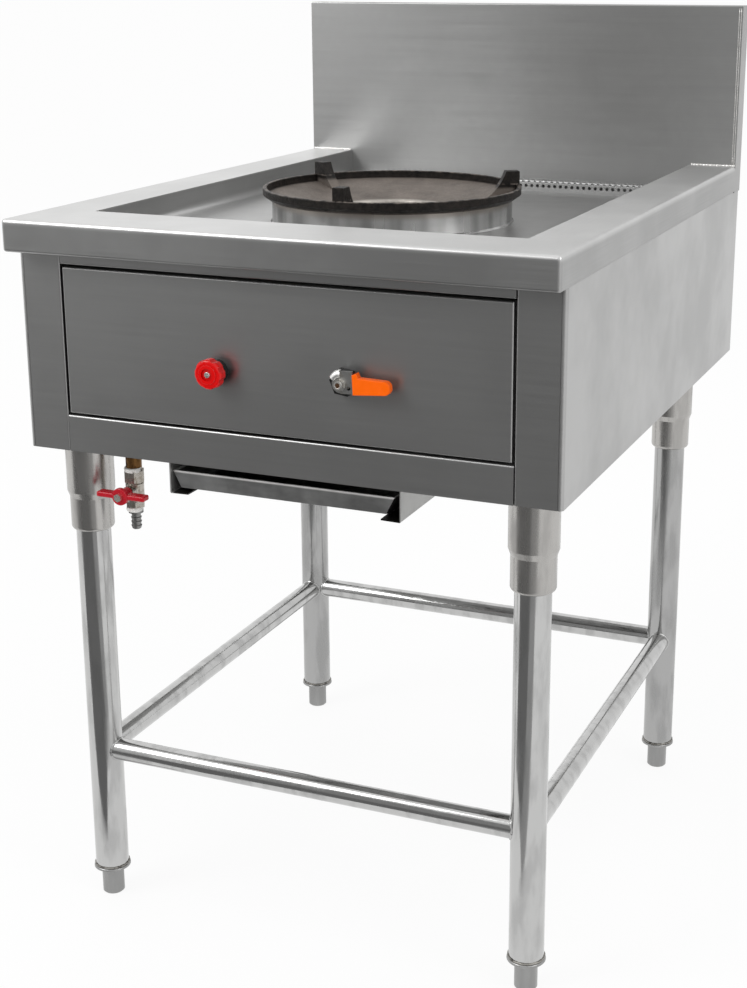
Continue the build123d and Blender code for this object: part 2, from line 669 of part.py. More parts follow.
def wok_ring():
    """Cast-iron ring with three lugs that hold a round-bottomed pan."""
    lug = ring_lug()
    lugs = [Rot(0, 0, step * 360 / LUG_COUNT) * lug for step in range(LUG_COUNT)]
    seam_turn = Rot(0, 0, 180 / LUG_COUNT)
    ring = seam_turn * ring_body() + lugs
    return Pos(0, BURNER_Y, 0) * Rot(0, 0, LUG_FIRST_ANGLE) * ring


# ---------------------------------------------------------------------------------------------------
# Cabinet
# ---------------------------------------------------------------------------------------------------


def front_post():
    """Right-hand folded post: face, return beside the panel, and the lip that the panel rests on."""
    lip_front = BODY_SETBACK + POST_DEPTH
    outer = BODY_HALF - CORNER_LIP - CORNER_SEAM
    face_top = RIM_UNDERSIDE - RIM_FOLD
    face = block((POST_INNER, outer), (BODY_SETBACK, BODY_SETBACK + SHEET), (CABINET_BOTTOM, face_top))
    inner = POST_INNER + SHEET
    lip_back = lip_front + SHEET
    returned = block((POST_INNER, inner), (BODY_SETBACK, lip_back), (BASE_TOP, face_top))
    lip = block((POST_INNER - POST_LIP, inner), (lip_front, lip_back), (LOWER_RAIL_TOP, PANEL_TOP))
    post = face + returned + lip
    return fillet(folded_edges(post, Axis.Z, POST_INNER, BODY_SETBACK), FOLD_RADIUS)


def front_rail_lower():
    """Rail under the control panel, folded back along its top."""
    half = POST_INNER - SEAM_GAP
    face = block((-half, half), (BODY_SETBACK, BODY_SETBACK + SHEET), (CABINET_BOTTOM, LOWER_RAIL_TOP))
    top_height = (LOWER_RAIL_TOP - SHEET, LOWER_RAIL_TOP)
    top = block((-half, half), (BODY_SETBACK, BODY_SETBACK + POST_DEPTH), top_height)
    rail = face + top
    front_top = rail.edges().filter_by(Axis.X).group_by(Axis.Z)[-1].group_by(Axis.Y)[0]
    return fillet(front_top, FOLD_RADIUS)


def front_rail_upper():
    """Rail above the control panel, folded back along its bottom."""
    half = POST_INNER - SEAM_GAP
    bottom = UPPER_RAIL_BOTTOM
    face = block((-half, half), (BODY_SETBACK, BODY_SETBACK + SHEET), (bottom, RIM_UNDERSIDE))
    fold = block((-half, half), (BODY_SETBACK, BODY_SETBACK + POST_DEPTH), (bottom, bottom + SHEET))
    rail = face + fold
    front_bottom = rail.edges().filter_by(Axis.X).group_by(Axis.Z)[0].group_by(Axis.Y)[0]
    return fillet(front_bottom, FOLD_RADIUS)


def control_panel():
    """Front panel folded back on all four sides, with the holes for both valve glands."""
    half = POST_INNER - PANEL_GAP
    outside = block((-half, half), (BODY_SETBACK, BODY_SETBACK + POST_DEPTH), (PANEL_BOTTOM, PANEL_TOP))
    outside = fillet(outside.edges().group_by(Axis.Y)[0], FOLD_RADIUS)
    inside = block(
        (-half + SHEET, half - SHEET),
        (BODY_SETBACK + SHEET, BODY_SETBACK + POST_DEPTH),
        (PANEL_BOTTOM + SHEET, PANEL_TOP - SHEET),
    )
    through = (BODY_SETBACK - SHEET, BODY_SETBACK + 2 * SHEET)
    gas_hole = rod_y(GAS_TAP_X, through, GAS_TAP_HEIGHT, GLAND_RADIUS + HOLE_PLAY)
    pilot_hole = rod_y(PILOT_X, through, TAP_HEIGHT, PILOT_NECK_RADIUS + HOLE_PLAY)
    return outside - inside - gas_hole - pilot_hole


def side_panel():
    """Right-hand side with a flange under the rim, stepped down behind, and a flange for the rear panel."""
    top = RIM_UNDERSIDE
    flange_inner = BODY_HALF - SIDE_TOP_FLANGE
    profile = [
        (BODY_INSIDE, CABINET_BOTTOM),
        (BODY_HALF, CABINET_BOTTOM),
        (BODY_HALF, top - SIDE_TOP_CORNER),
        (BODY_HALF - SIDE_TOP_CORNER, top),
        (flange_inner, top),
        (flange_inner, top - SHEET),
        (BODY_HALF - SIDE_TOP_CORNER, top - SHEET),
        (BODY_INSIDE, top - SIDE_TOP_CORNER),
    ]
    sheet = front_profile(profile, (BODY_SETBACK + CORNER_FOLD, SPLASH_FRONT))
    sheet += block((BODY_INSIDE, BODY_HALF), (SPLASH_FRONT, DEPTH), (CABINET_BOTTOM, APRON_BOTTOM))
    corner_height = (CABINET_BOTTOM, top - SIDE_TOP_CORNER)
    corner_depth = (BODY_SETBACK, BODY_SETBACK + 2 * CORNER_FOLD)
    corner = block((BODY_HALF - CORNER_LIP, BODY_HALF), corner_depth, corner_height)
    corner = fillet(folded_edges(corner, Axis.Z, BODY_HALF, BODY_SETBACK), CORNER_FOLD)
    hollow = block(
        (BODY_HALF - CORNER_LIP - SHEET, BODY_INSIDE),
        (BODY_SETBACK + SHEET, BODY_SETBACK + 3 * CORNER_FOLD),
        corner_height,
    )
    hollow = fillet(folded_edges(hollow, Axis.Z, BODY_INSIDE, BODY_SETBACK + SHEET), CORNER_FOLD - SHEET)
    sheet += corner - hollow
    flange = block(
        (BODY_INSIDE - SIDE_BACK_FLANGE, BODY_INSIDE),
        (DEPTH - 2 * SHEET, DEPTH - SHEET),
        (BASE_TOP, APRON_BOTTOM - SHEET),
    )
    panel = sheet + flange
    for z in rear_screw_heights():
        panel -= rod_y(BODY_INSIDE - SCREW_INSET, (DEPTH - 3 * SHEET, DEPTH), z, REAR_SCREW_RADIUS)
    return panel


def rear_screw_heights():
    """Heights of the rear panel's screws."""
    low = CABINET_BOTTOM + REAR_SCREW_END_MARGIN
    high = APRON_BOTTOM - REAR_SCREW_END_MARGIN
    step = (high - low) / (REAR_SCREWS_PER_SIDE - 1)
    return [low + index * step for index in range(REAR_SCREWS_PER_SIDE)]


def rear_panel():
    """Back of the cabinet, folded forward along its top to carry the splashback."""
    sheet = block((-BODY_INSIDE, BODY_INSIDE), (DEPTH - SHEET, DEPTH), (CABINET_BOTTOM, APRON_BOTTOM))
    shelf_height = (APRON_BOTTOM - SHEET, APRON_BOTTOM)
    shelf = block((-BODY_INSIDE, BODY_INSIDE), (SPLASH_FRONT + SHEET, DEPTH), shelf_height)
    panel = sheet + shelf
    through = (DEPTH - 2 * SHEET, DEPTH + SHEET)
    panel -= rod_y(GAS_TAP_X, through, INLET_HEIGHT, PIPE_RADIUS + HOLE_PLAY)
    for side in (-1, 1):
        for z in rear_screw_heights():
            panel -= rod_y(side * (BODY_INSIDE - SCREW_INSET), through, z, REAR_SCREW_RADIUS)
    return panel


def base_panel():
    """Floor of the cabinet, open above the drip tray."""
    depth = (BODY_SETBACK + SHEET, DEPTH - SHEET)
    sheet = block((-BODY_INSIDE, BODY_INSIDE), depth, (CABINET_BOTTOM, BASE_TOP))
    sheet = fillet(sheet.edges().filter_by(Axis.Z).group_by(Axis.Y)[0], CORNER_FOLD)
    through = (CABINET_BOTTOM - SHEET, BASE_TOP + SHEET)
    opening = block(
        (-BASE_OPENING_WIDTH / 2, BASE_OPENING_WIDTH / 2),
        (BASE_OPENING_FRONT, BASE_OPENING_FRONT + BASE_OPENING_LENGTH),
        through,
    )
    return sheet - opening - rod_z(DRAIN_X, DRAIN_TAP_Y, through, DRAIN_RADIUS + HOLE_PLAY)


def rear_screws():
    """Pan-head screws that hold the rear panel to the side flanges."""
    screws = []
    for side in (-1, 1):
        x = side * (BODY_INSIDE - SCREW_INSET)
        for z in rear_screw_heights():
            head = rod_y(x, (DEPTH, DEPTH + REAR_SCREW_HEAD_HEIGHT), z, REAR_SCREW_HEAD_RADIUS)
            head = fillet(head.edges().group_by(Axis.Y)[-1], REAR_SCREW_HEAD_HEIGHT / 2)
            shank = rod_y(x, (DEPTH - REAR_SCREW_LENGTH, DEPTH), z, REAR_SCREW_RADIUS - STEM_PLAY)
            screws.append(head + shank)
    return Compound(children=screws)


# ---------------------------------------------------------------------------------------------------
# Drip tray
# ---------------------------------------------------------------------------------------------------


def tray_rail(side):
    """Channel under the cabinet whose bottom flange carries the tray; side is -1 for left and 1 for right."""
    web = RAIL_SPAN / 2
    bottom = CABINET_BOTTOM - RAIL_DROP
    tip = web - RAIL_FLANGE
    points = [
        (tip, CABINET_BOTTOM),
        (web, CABINET_BOTTOM),
        (web, bottom),
        (tip, bottom + RAIL_FLANGE_RISE),
        (tip, bottom + RAIL_FLANGE_RISE + SHEET),
        (web - SHEET, bottom + SHEET),
        (web - SHEET, CABINET_BOTTOM - SHEET),
        (tip, CABINET_BOTTOM - SHEET),
    ]
    rail = front_profile(points, (RAIL_FRONT, RAIL_FRONT + RAIL_LENGTH))
    outer_folds = rail.edges().filter_by(Axis.Y).group_by(Axis.X)[-1]
    rail = fillet(outer_folds, RAIL_FOLD)
    if side < 0:
        rail = mirrored(rail)
    return Pos(RAIL_SHIFT, 0, 0) * rail


def tray_solid(inset):
    """Filled form of the tray, made smaller all round, except at the top, by the inset."""
    top = TRAY_FLOOR + TRAY_DEPTH
    floor = TRAY_FLOOR + inset
    front = TRAY_FRONT + inset
    back = TRAY_FRONT + TRAY_LENGTH - inset
    side_slope = (TRAY_TOP_WIDTH - TRAY_FLOOR_WIDTH) / 2 / TRAY_DEPTH
    top_half = TRAY_TOP_WIDTH / 2 - inset
    floor_half = TRAY_FLOOR_WIDTH / 2 - inset + side_slope * inset
    across = front_profile(
        [(-floor_half, floor), (floor_half, floor), (top_half, top), (-top_half, top)],
        (front, back),
    )
    lip = floor + TRAY_LIP_RISE
    along = side_profile(
        [(front, lip), (front + TRAY_LIP_SLOPE, floor), (back, floor), (back, top), (front, top)],
        (-top_half, top_half),
    )
    return across & along


def drip_tray():
    """Shallow pan with sloping sides and a rolled front edge that slides in the rails."""
    top = TRAY_FLOOR + TRAY_DEPTH
    half_hem = TRAY_TOP_WIDTH / 2 - TRAY_HEM_RADIUS
    hem = rod_x((-half_hem, half_hem), TRAY_FRONT + TRAY_HEM_RADIUS, top - TRAY_HEM_RADIUS, TRAY_HEM_RADIUS)
    tray = tray_solid(0) - tray_solid(TRAY_SHEET) + hem
    return Pos(RAIL_SHIFT + TRAY_SHIFT, 0, 0) * tray


# ---------------------------------------------------------------------------------------------------
# Stand
# ---------------------------------------------------------------------------------------------------


def leg_socket(x, y):
    """Stepped cup welded under the cabinet, with a rounded mouth."""
    step = CABINET_BOTTOM - SOCKET_UPPER_LENGTH
    mouth = CABINET_BOTTOM - SOCKET_LENGTH
    bore = LEG_RADIUS + STEM_PLAY
    outside = rod_z(x, y, (step, CABINET_BOTTOM), SOCKET_RADIUS)
    taper_middle = step - SOCKET_TAPER / 2
    outside += Pos(x, y, taper_middle) * Cone(SOCKET_LOWER_RADIUS, SOCKET_RADIUS, SOCKET_TAPER)
    outside += rod_z(x, y, (mouth, step - SOCKET_TAPER), SOCKET_LOWER_RADIUS)
    mouth_round = min(SOCKET_MOUTH, SOCKET_LOWER_RADIUS - bore - STEM_PLAY)
    outside = fillet(outside.edges().group_by(Axis.Z)[0], mouth_round)
    return outside - rod_z(x, y, (mouth, LEG_TOP), bore)


def leg_tube(x, y):
    """Stainless tube from the socket down to the foot's ferrule."""
    tube = (LEG_BOTTOM, LEG_TOP)
    return rod_z(x, y, tube, LEG_RADIUS) - rod_z(x, y, tube, LEG_RADIUS - LEG_WALL)


def foot_ferrules():
    """Flanged threaded plugs pressed into the bottom of the four legs."""
    flange_top = FOOT_HEIGHT + FERRULE_FLANGE
    ferrules = []
    for x, y in LEG_SPOTS.values():
        flange = rod_z(x, y, (FOOT_HEIGHT, flange_top), FERRULE_RADIUS)
        flange = fillet(flange.edges().group_by(Axis.Z)[-1], FERRULE_ROUND)
        plug = rod_z(x, y, (FOOT_HEIGHT, flange_top + FERRULE_PLUG), LEG_RADIUS - LEG_WALL - STEM_PLAY)
        thread = rod_z(x, y, (FOOT_HEIGHT, flange_top + FERRULE_PLUG), FOOT_STEM_RADIUS + STEM_PLAY)
        ferrules.append(flange + plug - thread)
    return Compound(children=ferrules)


def levelling_foot(x, y):
    """Screw foot: a round stub on a threaded stem."""
    stub = rod_z(x, y, (0, FOOT_HEIGHT), FOOT_RADIUS)
    stub = chamfer(stub.edges().group_by(Axis.Z)[0], FOOT_CHAMFER)
    return stub + rod_z(x, y, (FOOT_HEIGHT, FOOT_HEIGHT + FOOT_STEM_LENGTH), FOOT_STEM_RADIUS)


def stretcher(start, end):
    """Round tube between two legs, coped to fit against both."""
    (x0, y0), (x1, y1) = start, end
    make_rod = rod_x if y0 == y1 else rod_y
    place = ((x0, x1), y0) if y0 == y1 else (x0, (y0, y1))
    tube = make_rod(*place, STRETCHER_HEIGHT, STRETCHER_RADIUS)
    tube -= make_rod(*place, STRETCHER_HEIGHT, STRETCHER_RADIUS - STRETCHER_WALL)
    cope = (STRETCHER_HEIGHT - 2 * STRETCHER_RADIUS, STRETCHER_HEIGHT + 2 * STRETCHER_RADIUS)
    for x, y in (start, end):
        tube -= rod_z(x, y, cope, LEG_RADIUS)
    return tube


# ---------------------------------------------------------------------------------------------------
# Burner
# ---------------------------------------------------------------------------------------------------


def combustion_chamber():
    """Flame guard that hangs under the deck on its flange."""
    bore = CHAMBER_RADIUS - CHAMBER_WALL
    points = [
        (bore, CHAMBER_TOP),
        (CHAMBER_RADIUS + CHAMBER_FLANGE, CHAMBER_TOP),
        (CHAMBER_RADIUS + CHAMBER_FLANGE, CHAMBER_TOP - CHAMBER_WALL),
        (CHAMBER_RADIUS, CHAMBER_TOP - CHAMBER_WALL),
        (CHAMBER_RADIUS, CHAMBER_BOTTOM),
        (bore, CHAMBER_BOTTOM),
    ]
    return turned_z(points, 0, BURNER_Y)


def mixer_profile():
    """Outline of (radius, y) points of the mixer: a flared mouth and a straight tube into the burner."""
    bell_end = MIXER_FRONT + MIXER_BELL_LENGTH
    wall = MIXER_RADIUS - MIXER_BORE
    return [
        (MIXER_BELL_RADIUS - wall, MIXER_FRONT),
        (MIXER_BELL_RADIUS, MIXER_FRONT),
        (MIXER_RADIUS, bell_end),
        (MIXER_RADIUS, BURNER_Y),
        (MIXER_BORE, BURNER_Y),
        (MIXER_BORE, bell_end),
    ]


def burner():
    """Cast burner: mixer tube, hollow neck and a wide head with a circle of jets."""
    top = BURNER_TOP
    head_bottom = top - BURNER_HEAD_DEPTH
    neck_top = head_bottom - BURNER_WALL
    neck_bore = BURNER_NECK_RADIUS - BURNER_WALL
    outline = [
        (0, BURNER_BASE),
        (BURNER_NECK_RADIUS, BURNER_BASE),
        (BURNER_NECK_RADIUS, neck_top),
        (BURNER_HEAD_RADIUS, head_bottom),
        (BURNER_HEAD_RADIUS, top),
        (0, top),
    ]
    casting = turned_z(outline, 0, BURNER_Y)
    mixer_face = make_face(Polyline([(radius, y, 0) for radius, y in mixer_profile()], close=True))
    casting += Pos(0, 0, BURNER_INLET) * revolve(mixer_face, Axis.Y)
    head_floor = head_bottom + BURNER_WALL / 2
    casting -= rod_z(0, BURNER_Y, (BURNER_BASE + BURNER_WALL, head_floor), neck_bore)
    casting -= rod_z(0, BURNER_Y, (head_floor, top - BURNER_WALL), BURNER_HEAD_RADIUS - BURNER_WALL)
    casting -= rod_y(0, (BURNER_Y - BURNER_NECK_RADIUS, BURNER_Y), BURNER_INLET, MIXER_BORE)
    for index in range(BURNER_JETS):
        angle = radians(360 * index / BURNER_JETS)
        x = BURNER_JET_CIRCLE * cos(angle)
        y = BURNER_Y + BURNER_JET_CIRCLE * sin(angle)
        casting -= rod_z(x, y, (top - 2 * BURNER_WALL, top + BURNER_WALL), BURNER_JET_RADIUS)
    return casting


def gas_injector():
    """Hexagonal jet that screws onto the feed pipe and points into the mixer."""
    body = hexagon_y(0, (INJECTOR_FRONT, INJECTOR_BACK), BURNER_INLET, INJECTOR_FLATS)
    tip_end = INJECTOR_BACK + INJECTOR_TIP_LENGTH
    body += rod_y(0, (INJECTOR_BACK, tip_end), BURNER_INLET, INJECTOR_TIP_RADIUS)
    socket_end = INJECTOR_FRONT + INJECTOR_LENGTH / 2
    socket = rod_y(0, (INJECTOR_FRONT, socket_end), BURNER_INLET, PIPE_RADIUS + PORT_FIT)
    return body - socket - rod_y(0, (socket_end, tip_end), BURNER_INLET, INJECTOR_ORIFICE)


def burner_bracket():
    """Bridge of flat bar that stands on the cabinet floor and carries the burner."""
    y = (BURNER_Y - BRACKET_WIDTH / 2, BURNER_Y + BRACKET_WIDTH / 2)
    top = block((-BRACKET_HALF_SPAN, BRACKET_HALF_SPAN), y, (BURNER_BASE - BRACKET_PLATE, BURNER_BASE))
    inner = BRACKET_HALF_SPAN - BRACKET_PLATE
    leg = block((inner, BRACKET_HALF_SPAN), y, (BASE_TOP, BURNER_BASE))
    foot = block((inner, BRACKET_HALF_SPAN + BRACKET_FOOT), y, (BASE_TOP, BASE_TOP + BRACKET_PLATE))
    side = leg + foot
    return top + side + mirrored(side)


# ---------------------------------------------------------------------------------------------------
# Main gas line
# ---------------------------------------------------------------------------------------------------


def gas_inlet_pipe():
    """Pipe from the thread at its end behind the cabinet to the bottom port of the gas valve."""
    port_depth = GAS_TAP_HEIGHT - VALVE_HALF_LENGTH + VALVE_HEX_LENGTH
    points = [
        (GAS_TAP_X, DEPTH + INLET_PROUD, INLET_HEIGHT),
        (GAS_TAP_X, VALVE_Y, INLET_HEIGHT),
        (GAS_TAP_X, VALVE_Y, port_depth),
    ]
    thread = (DEPTH + INLET_PROUD - INLET_THREAD_LENGTH, DEPTH + INLET_PROUD)
    turned_off = rod_y(GAS_TAP_X, thread, INLET_HEIGHT, 2 * PIPE_RADIUS)
    turned_off -= rod_y(GAS_TAP_X, thread, INLET_HEIGHT, INLET_THREAD_RADIUS)
    return pipe(points, PIPE_BEND, PIPE_RADIUS, PIPE_BORE) - turned_off


def burner_feed_pipe():
    """Pipe from the top port of the gas valve to the injector."""
    port_depth = GAS_TAP_HEIGHT + VALVE_HALF_LENGTH - VALVE_HEX_LENGTH
    points = [
        (GAS_TAP_X, VALVE_Y, port_depth),
        (GAS_TAP_X, VALVE_Y, BURNER_INLET),
        (0, VALVE_Y, BURNER_INLET),
        (0, INJECTOR_FRONT + INJECTOR_LENGTH / 2, BURNER_INLET),
    ]
    return pipe(points, PIPE_BEND, PIPE_RADIUS, PIPE_BORE)


def gas_valve_body():
    """Ball-valve body with hexagonal ends and the gland that passes through the panel."""
    low = GAS_TAP_HEIGHT - VALVE_HALF_LENGTH
    high = GAS_TAP_HEIGHT + VALVE_HALF_LENGTH
    body = rod_z(GAS_TAP_X, VALVE_Y, (low, high), VALVE_BARREL_RADIUS)
    body += hexagon_z(GAS_TAP_X, VALVE_Y, (low, low + VALVE_HEX_LENGTH), VALVE_FLATS)
    body += hexagon_z(GAS_TAP_X, VALVE_Y, (high - VALVE_HEX_LENGTH, high), VALVE_FLATS)
    body += rod_y(GAS_TAP_X, (BODY_SETBACK + SHEET, VALVE_Y), GAS_TAP_HEIGHT, GLAND_SHOULDER_RADIUS)
    body += rod_y(GAS_TAP_X, (GLAND_FRONT, VALVE_Y), GAS_TAP_HEIGHT, GLAND_RADIUS)
    body -= Pos(GAS_TAP_X, VALVE_Y, GAS_TAP_HEIGHT) * Sphere(VALVE_BALL_RADIUS + BALL_PLAY)
    body -= rod_z(GAS_TAP_X, VALVE_Y, (low, high), VALVE_BORE)
    body -= rod_z(GAS_TAP_X, VALVE_Y, (low, low + VALVE_HEX_LENGTH), PIPE_RADIUS + PORT_FIT)
    body -= rod_z(GAS_TAP_X, VALVE_Y, (high - VALVE_HEX_LENGTH, high), PIPE_RADIUS + PORT_FIT)
    return body - rod_y(GAS_TAP_X, (GLAND_FRONT, VALVE_Y), GAS_TAP_HEIGHT, STEM_RADIUS + STEM_PLAY)


def gas_valve_ball():
    """Ball with its stem; the bore lies across the flow while the valve is shut."""
    stem_front = LEVER_FRONT - LEVER_NUT_HEIGHT - STEM_END_PROUD
    ball = Pos(GAS_TAP_X, VALVE_Y, GAS_TAP_HEIGHT) * Rot(0, 90, 0) * Sphere(VALVE_BALL_RADIUS)
    ball += rod_y(GAS_TAP_X, (stem_front, VALVE_Y - VALVE_BORE), GAS_TAP_HEIGHT, STEM_RADIUS)
    reach = VALVE_BALL_RADIUS + BALL_PLAY
    return ball - rod_x((GAS_TAP_X - reach, GAS_TAP_X + reach), VALVE_Y, GAS_TAP_HEIGHT, VALVE_BORE)


def lever_placed(shape):
    """A shape made round the lever's own axis, turned to its rest angle at the gas valve."""
    return Pos(GAS_TAP_X, 0, GAS_TAP_HEIGHT) * Rot(0, -LEVER_REST_ANGLE, 0) * shape


def gas_lever():
    """Zinc-plated lever plate with its eye, stop tab and shank."""
    y = (LEVER_FRONT, LEVER_BACK)
    plate = front_profile(
        [
            (0, -LEVER_BOTTOM),
            (SLEEVE_START, -LEVER_BOTTOM),
            (SLEEVE_START, -LEVER_SHANK_HALF),
            (LEVER_SHANK_END, -LEVER_SHANK_HALF),
            (LEVER_SHANK_END, LEVER_SHANK_HALF),
            (SLEEVE_START, LEVER_SHANK_HALF),
            (SLEEVE_START, LEVER_TOP),
            (0, LEVER_TOP),
        ],
        y,
    )
    plate += rod_y(0, y, 0, LEVER_EYE_RADIUS)
    half_tab = STOP_TAB_WIDTH / 2
    tab_clear = GLAND_RADIUS + LEVER_GAP
    tab = block((-half_tab, half_tab), (LEVER_FRONT, LEVER_BACK + STOP_TAB_REACH), (tab_clear, LEVER_TOP))
    front_top = tab.edges().filter_by(Axis.X).group_by(Axis.Z)[-1].sort_by(Axis.Y)[0]
    neck = block((-half_tab, half_tab), y, (0, tab_clear))
    plate += Rot(0, -STOP_TAB_ANGLE, 0) * (fillet(front_top, STOP_TAB_BEND) + neck)
    plate -= rod_y(0, y, 0, STEM_RADIUS + STEM_PLAY)
    plate -= rod_y(LEVER_HOLE_X, y, LEVER_HOLE_Z, LEVER_HOLE_RADIUS)
    return lever_placed(plate)


def gas_lever_sleeve():
    """Moulded grip over the lever's shank, tapering to a rounded end."""
    middle = (LEVER_FRONT + LEVER_BACK) / 2
    y = (middle - SLEEVE_THICKNESS / 2, middle + SLEEVE_THICKNESS / 2)
    grip = front_profile(
        [
            (SLEEVE_START, -SLEEVE_START_BOTTOM),
            (SLEEVE_END, -SLEEVE_END_BOTTOM),
            (SLEEVE_END, SLEEVE_END_TOP),
            (SLEEVE_START, SLEEVE_START_TOP),
        ],
        y,
    )
    grip = fillet(grip.edges().filter_by(Axis.Y).group_by(Axis.X)[-1], SLEEVE_END_ROUND)
    shoulder_top = SLEEVE_START_TOP + SLEEVE_SHOULDER
    shoulder = front_profile(
        [
            (SLEEVE_START, 0),
            (SLEEVE_START + 2 * SLEEVE_SHOULDER_LENGTH, 0),
            (SLEEVE_START + SLEEVE_SHOULDER_LENGTH, shoulder_top),
            (SLEEVE_START, shoulder_top - SLEEVE_SHOULDER / 2),
        ],
        y,
    )
    grip += shoulder
    grip = fillet(grip.faces().sort_by(Axis.Y)[0].edges(), SLEEVE_EDGE)
    pocket = block(
        (SLEEVE_START, LEVER_SHANK_END + SLEEVE_FIT),
        (LEVER_FRONT - SLEEVE_FIT, LEVER_BACK + SLEEVE_FIT),
        (-LEVER_SHANK_HALF - SLEEVE_FIT, LEVER_SHANK_HALF + SLEEVE_FIT),
    )
    return lever_placed(grip - pocket)


def gas_lever_nut():
    """Flanged nut that holds the lever on the stem."""
    front = LEVER_FRONT - LEVER_NUT_HEIGHT
    nut = hexagon_y(0, (front, LEVER_FRONT), 0, LEVER_NUT_FLATS)
    nut += rod_y(0, (LEVER_FRONT - LEVER_NUT_FLANGE, LEVER_FRONT), 0, LEVER_NUT_FLANGE_RADIUS)
    return lever_placed(nut - rod_y(0, (front, LEVER_FRONT), 0, STEM_RADIUS + STEM_PLAY))


# ---------------------------------------------------------------------------------------------------
# Pilot line
# ---------------------------------------------------------------------------------------------------


def pilot_valve_body():
    """Needle-valve body behind the panel, with its threaded neck through the panel."""
    low = TAP_HEIGHT - PILOT_HALF_LENGTH
    high = TAP_HEIGHT + PILOT_HALF_LENGTH
    neck_front = BODY_SETBACK - PILOT_COLLAR_LENGTH
    body = rod_z(PILOT_X, VALVE_Y, (low, high), PILOT_BODY_RADIUS)
    body += rod_y(PILOT_X, (BODY_SETBACK + SHEET, VALVE_Y), TAP_HEIGHT, PILOT_BODY_RADIUS)
    body += rod_y(PILOT_X, (neck_front, VALVE_Y), TAP_HEIGHT, PILOT_NECK_RADIUS)
    body -= rod_z(PILOT_X, VALVE_Y, (low, high), PILOT_BORE)
    for port in ((low, low + PILOT_HALF_LENGTH / 2), (high - PILOT_HALF_LENGTH / 2, high)):
        body -= rod_z(PILOT_X, VALVE_Y, port, SMALL_TUBE_RADIUS + PORT_FIT)
    return body - rod_y(PILOT_X, (neck_front, VALVE_Y), TAP_HEIGHT, NEEDLE_RADIUS + STEM_PLAY)


def pilot_collar():
    """Round collar nut that holds the pilot valve's neck in the panel."""
    y = (BODY_SETBACK - PILOT_COLLAR_LENGTH, BODY_SETBACK)
    collar = rod_y(PILOT_X, y, TAP_HEIGHT, PILOT_COLLAR_RADIUS)
    collar = chamfer(collar.edges().group_by(Axis.Y)[0], PILOT_COLLAR_CHAMFER)
    return collar - rod_y(PILOT_X, y, TAP_HEIGHT, PILOT_NECK_RADIUS)


def pilot_needle():
    """Needle whose point closes the pilot gas; its head is inside the knob."""
    head = KNOB_BACK - KNOB_HUB_DEPTH
    shoulder = VALVE_Y - PILOT_BORE
    tip_start = shoulder - NEEDLE_TIP
    needle = rod_y(PILOT_X, (head, tip_start), TAP_HEIGHT, NEEDLE_RADIUS)
    point = Cone(NEEDLE_RADIUS, NEEDLE_POINT_RADIUS, NEEDLE_TIP)
    needle += Pos(PILOT_X, tip_start + NEEDLE_TIP / 2, TAP_HEIGHT) * Rot(-90, 0, 0) * point
    screw_hole = rod_y(PILOT_X, (head, head + SCREW_SHANK_LENGTH), TAP_HEIGHT, SCREW_SHANK_RADIUS + STEM_PLAY)
    return needle - screw_hole


def pilot_knob():
    """Round knob with scalloped sides and a dished face."""
    knob = rod_y(0, (KNOB_FRONT, KNOB_BACK), 0, KNOB_RADIUS)
    knob = fillet(knob.edges().group_by(Axis.Y)[0], KNOB_EDGE)
    knob = fillet(knob.edges().group_by(Axis.Y)[-1], KNOB_EDGE / 2)
    notch_circle = KNOB_RADIUS + KNOB_SCALLOP_RADIUS - KNOB_SCALLOP_DEPTH
    for index in range(KNOB_SCALLOPS):
        angle = radians(360 * (index + 0.5) / KNOB_SCALLOPS)
        place = (notch_circle * cos(angle), notch_circle * sin(angle))
        knob -= rod_y(place[0], (KNOB_FRONT, KNOB_BACK), place[1], KNOB_SCALLOP_RADIUS)
    boss_front = KNOB_FRONT - KNOB_DISH_DEPTH / 2
    boss = rod_y(0, (boss_front, KNOB_BACK), 0, KNOB_FACE_RADIUS)
    knob += fillet(boss.edges().group_by(Axis.Y)[0], KNOB_DISH_DEPTH / 3)
    knob -= rod_y(0, (boss_front, KNOB_FRONT + KNOB_DISH_DEPTH / 2), 0, KNOB_DISH_RADIUS)
    needle_head = KNOB_BACK - KNOB_HUB_DEPTH
    knob -= rod_y(0, (needle_head, KNOB_BACK), 0, NEEDLE_RADIUS + KNOB_FIT)
    knob -= rod_y(0, (KNOB_FRONT, needle_head), 0, SCREW_SHANK_RADIUS + STEM_PLAY)
    return Pos(PILOT_X, 0, TAP_HEIGHT) * knob


def pilot_knob_screw():
    """Slotted screw that holds the knob on the needle."""
    seat = KNOB_FRONT + KNOB_DISH_DEPTH / 2
    needle_head = KNOB_BACK - KNOB_HUB_DEPTH
    head = rod_y(PILOT_X, (seat - SCREW_HEAD_HEIGHT, seat), TAP_HEIGHT, SCREW_HEAD_RADIUS)
    head = fillet(head.edges().group_by(Axis.Y)[0], SCREW_HEAD_HEIGHT / 3)
    slot = block(
        (PILOT_X - SCREW_HEAD_RADIUS, PILOT_X + SCREW_HEAD_RADIUS),
        (seat - SCREW_HEAD_HEIGHT, seat - SCREW_HEAD_HEIGHT / 2),
        (TAP_HEIGHT - SCREW_SLOT / 2, TAP_HEIGHT + SCREW_SLOT / 2),
    )
    shank = (seat, needle_head + SCREW_SHANK_LENGTH)
    return head - slot + rod_y(PILOT_X, shank, TAP_HEIGHT, SCREW_SHANK_RADIUS)


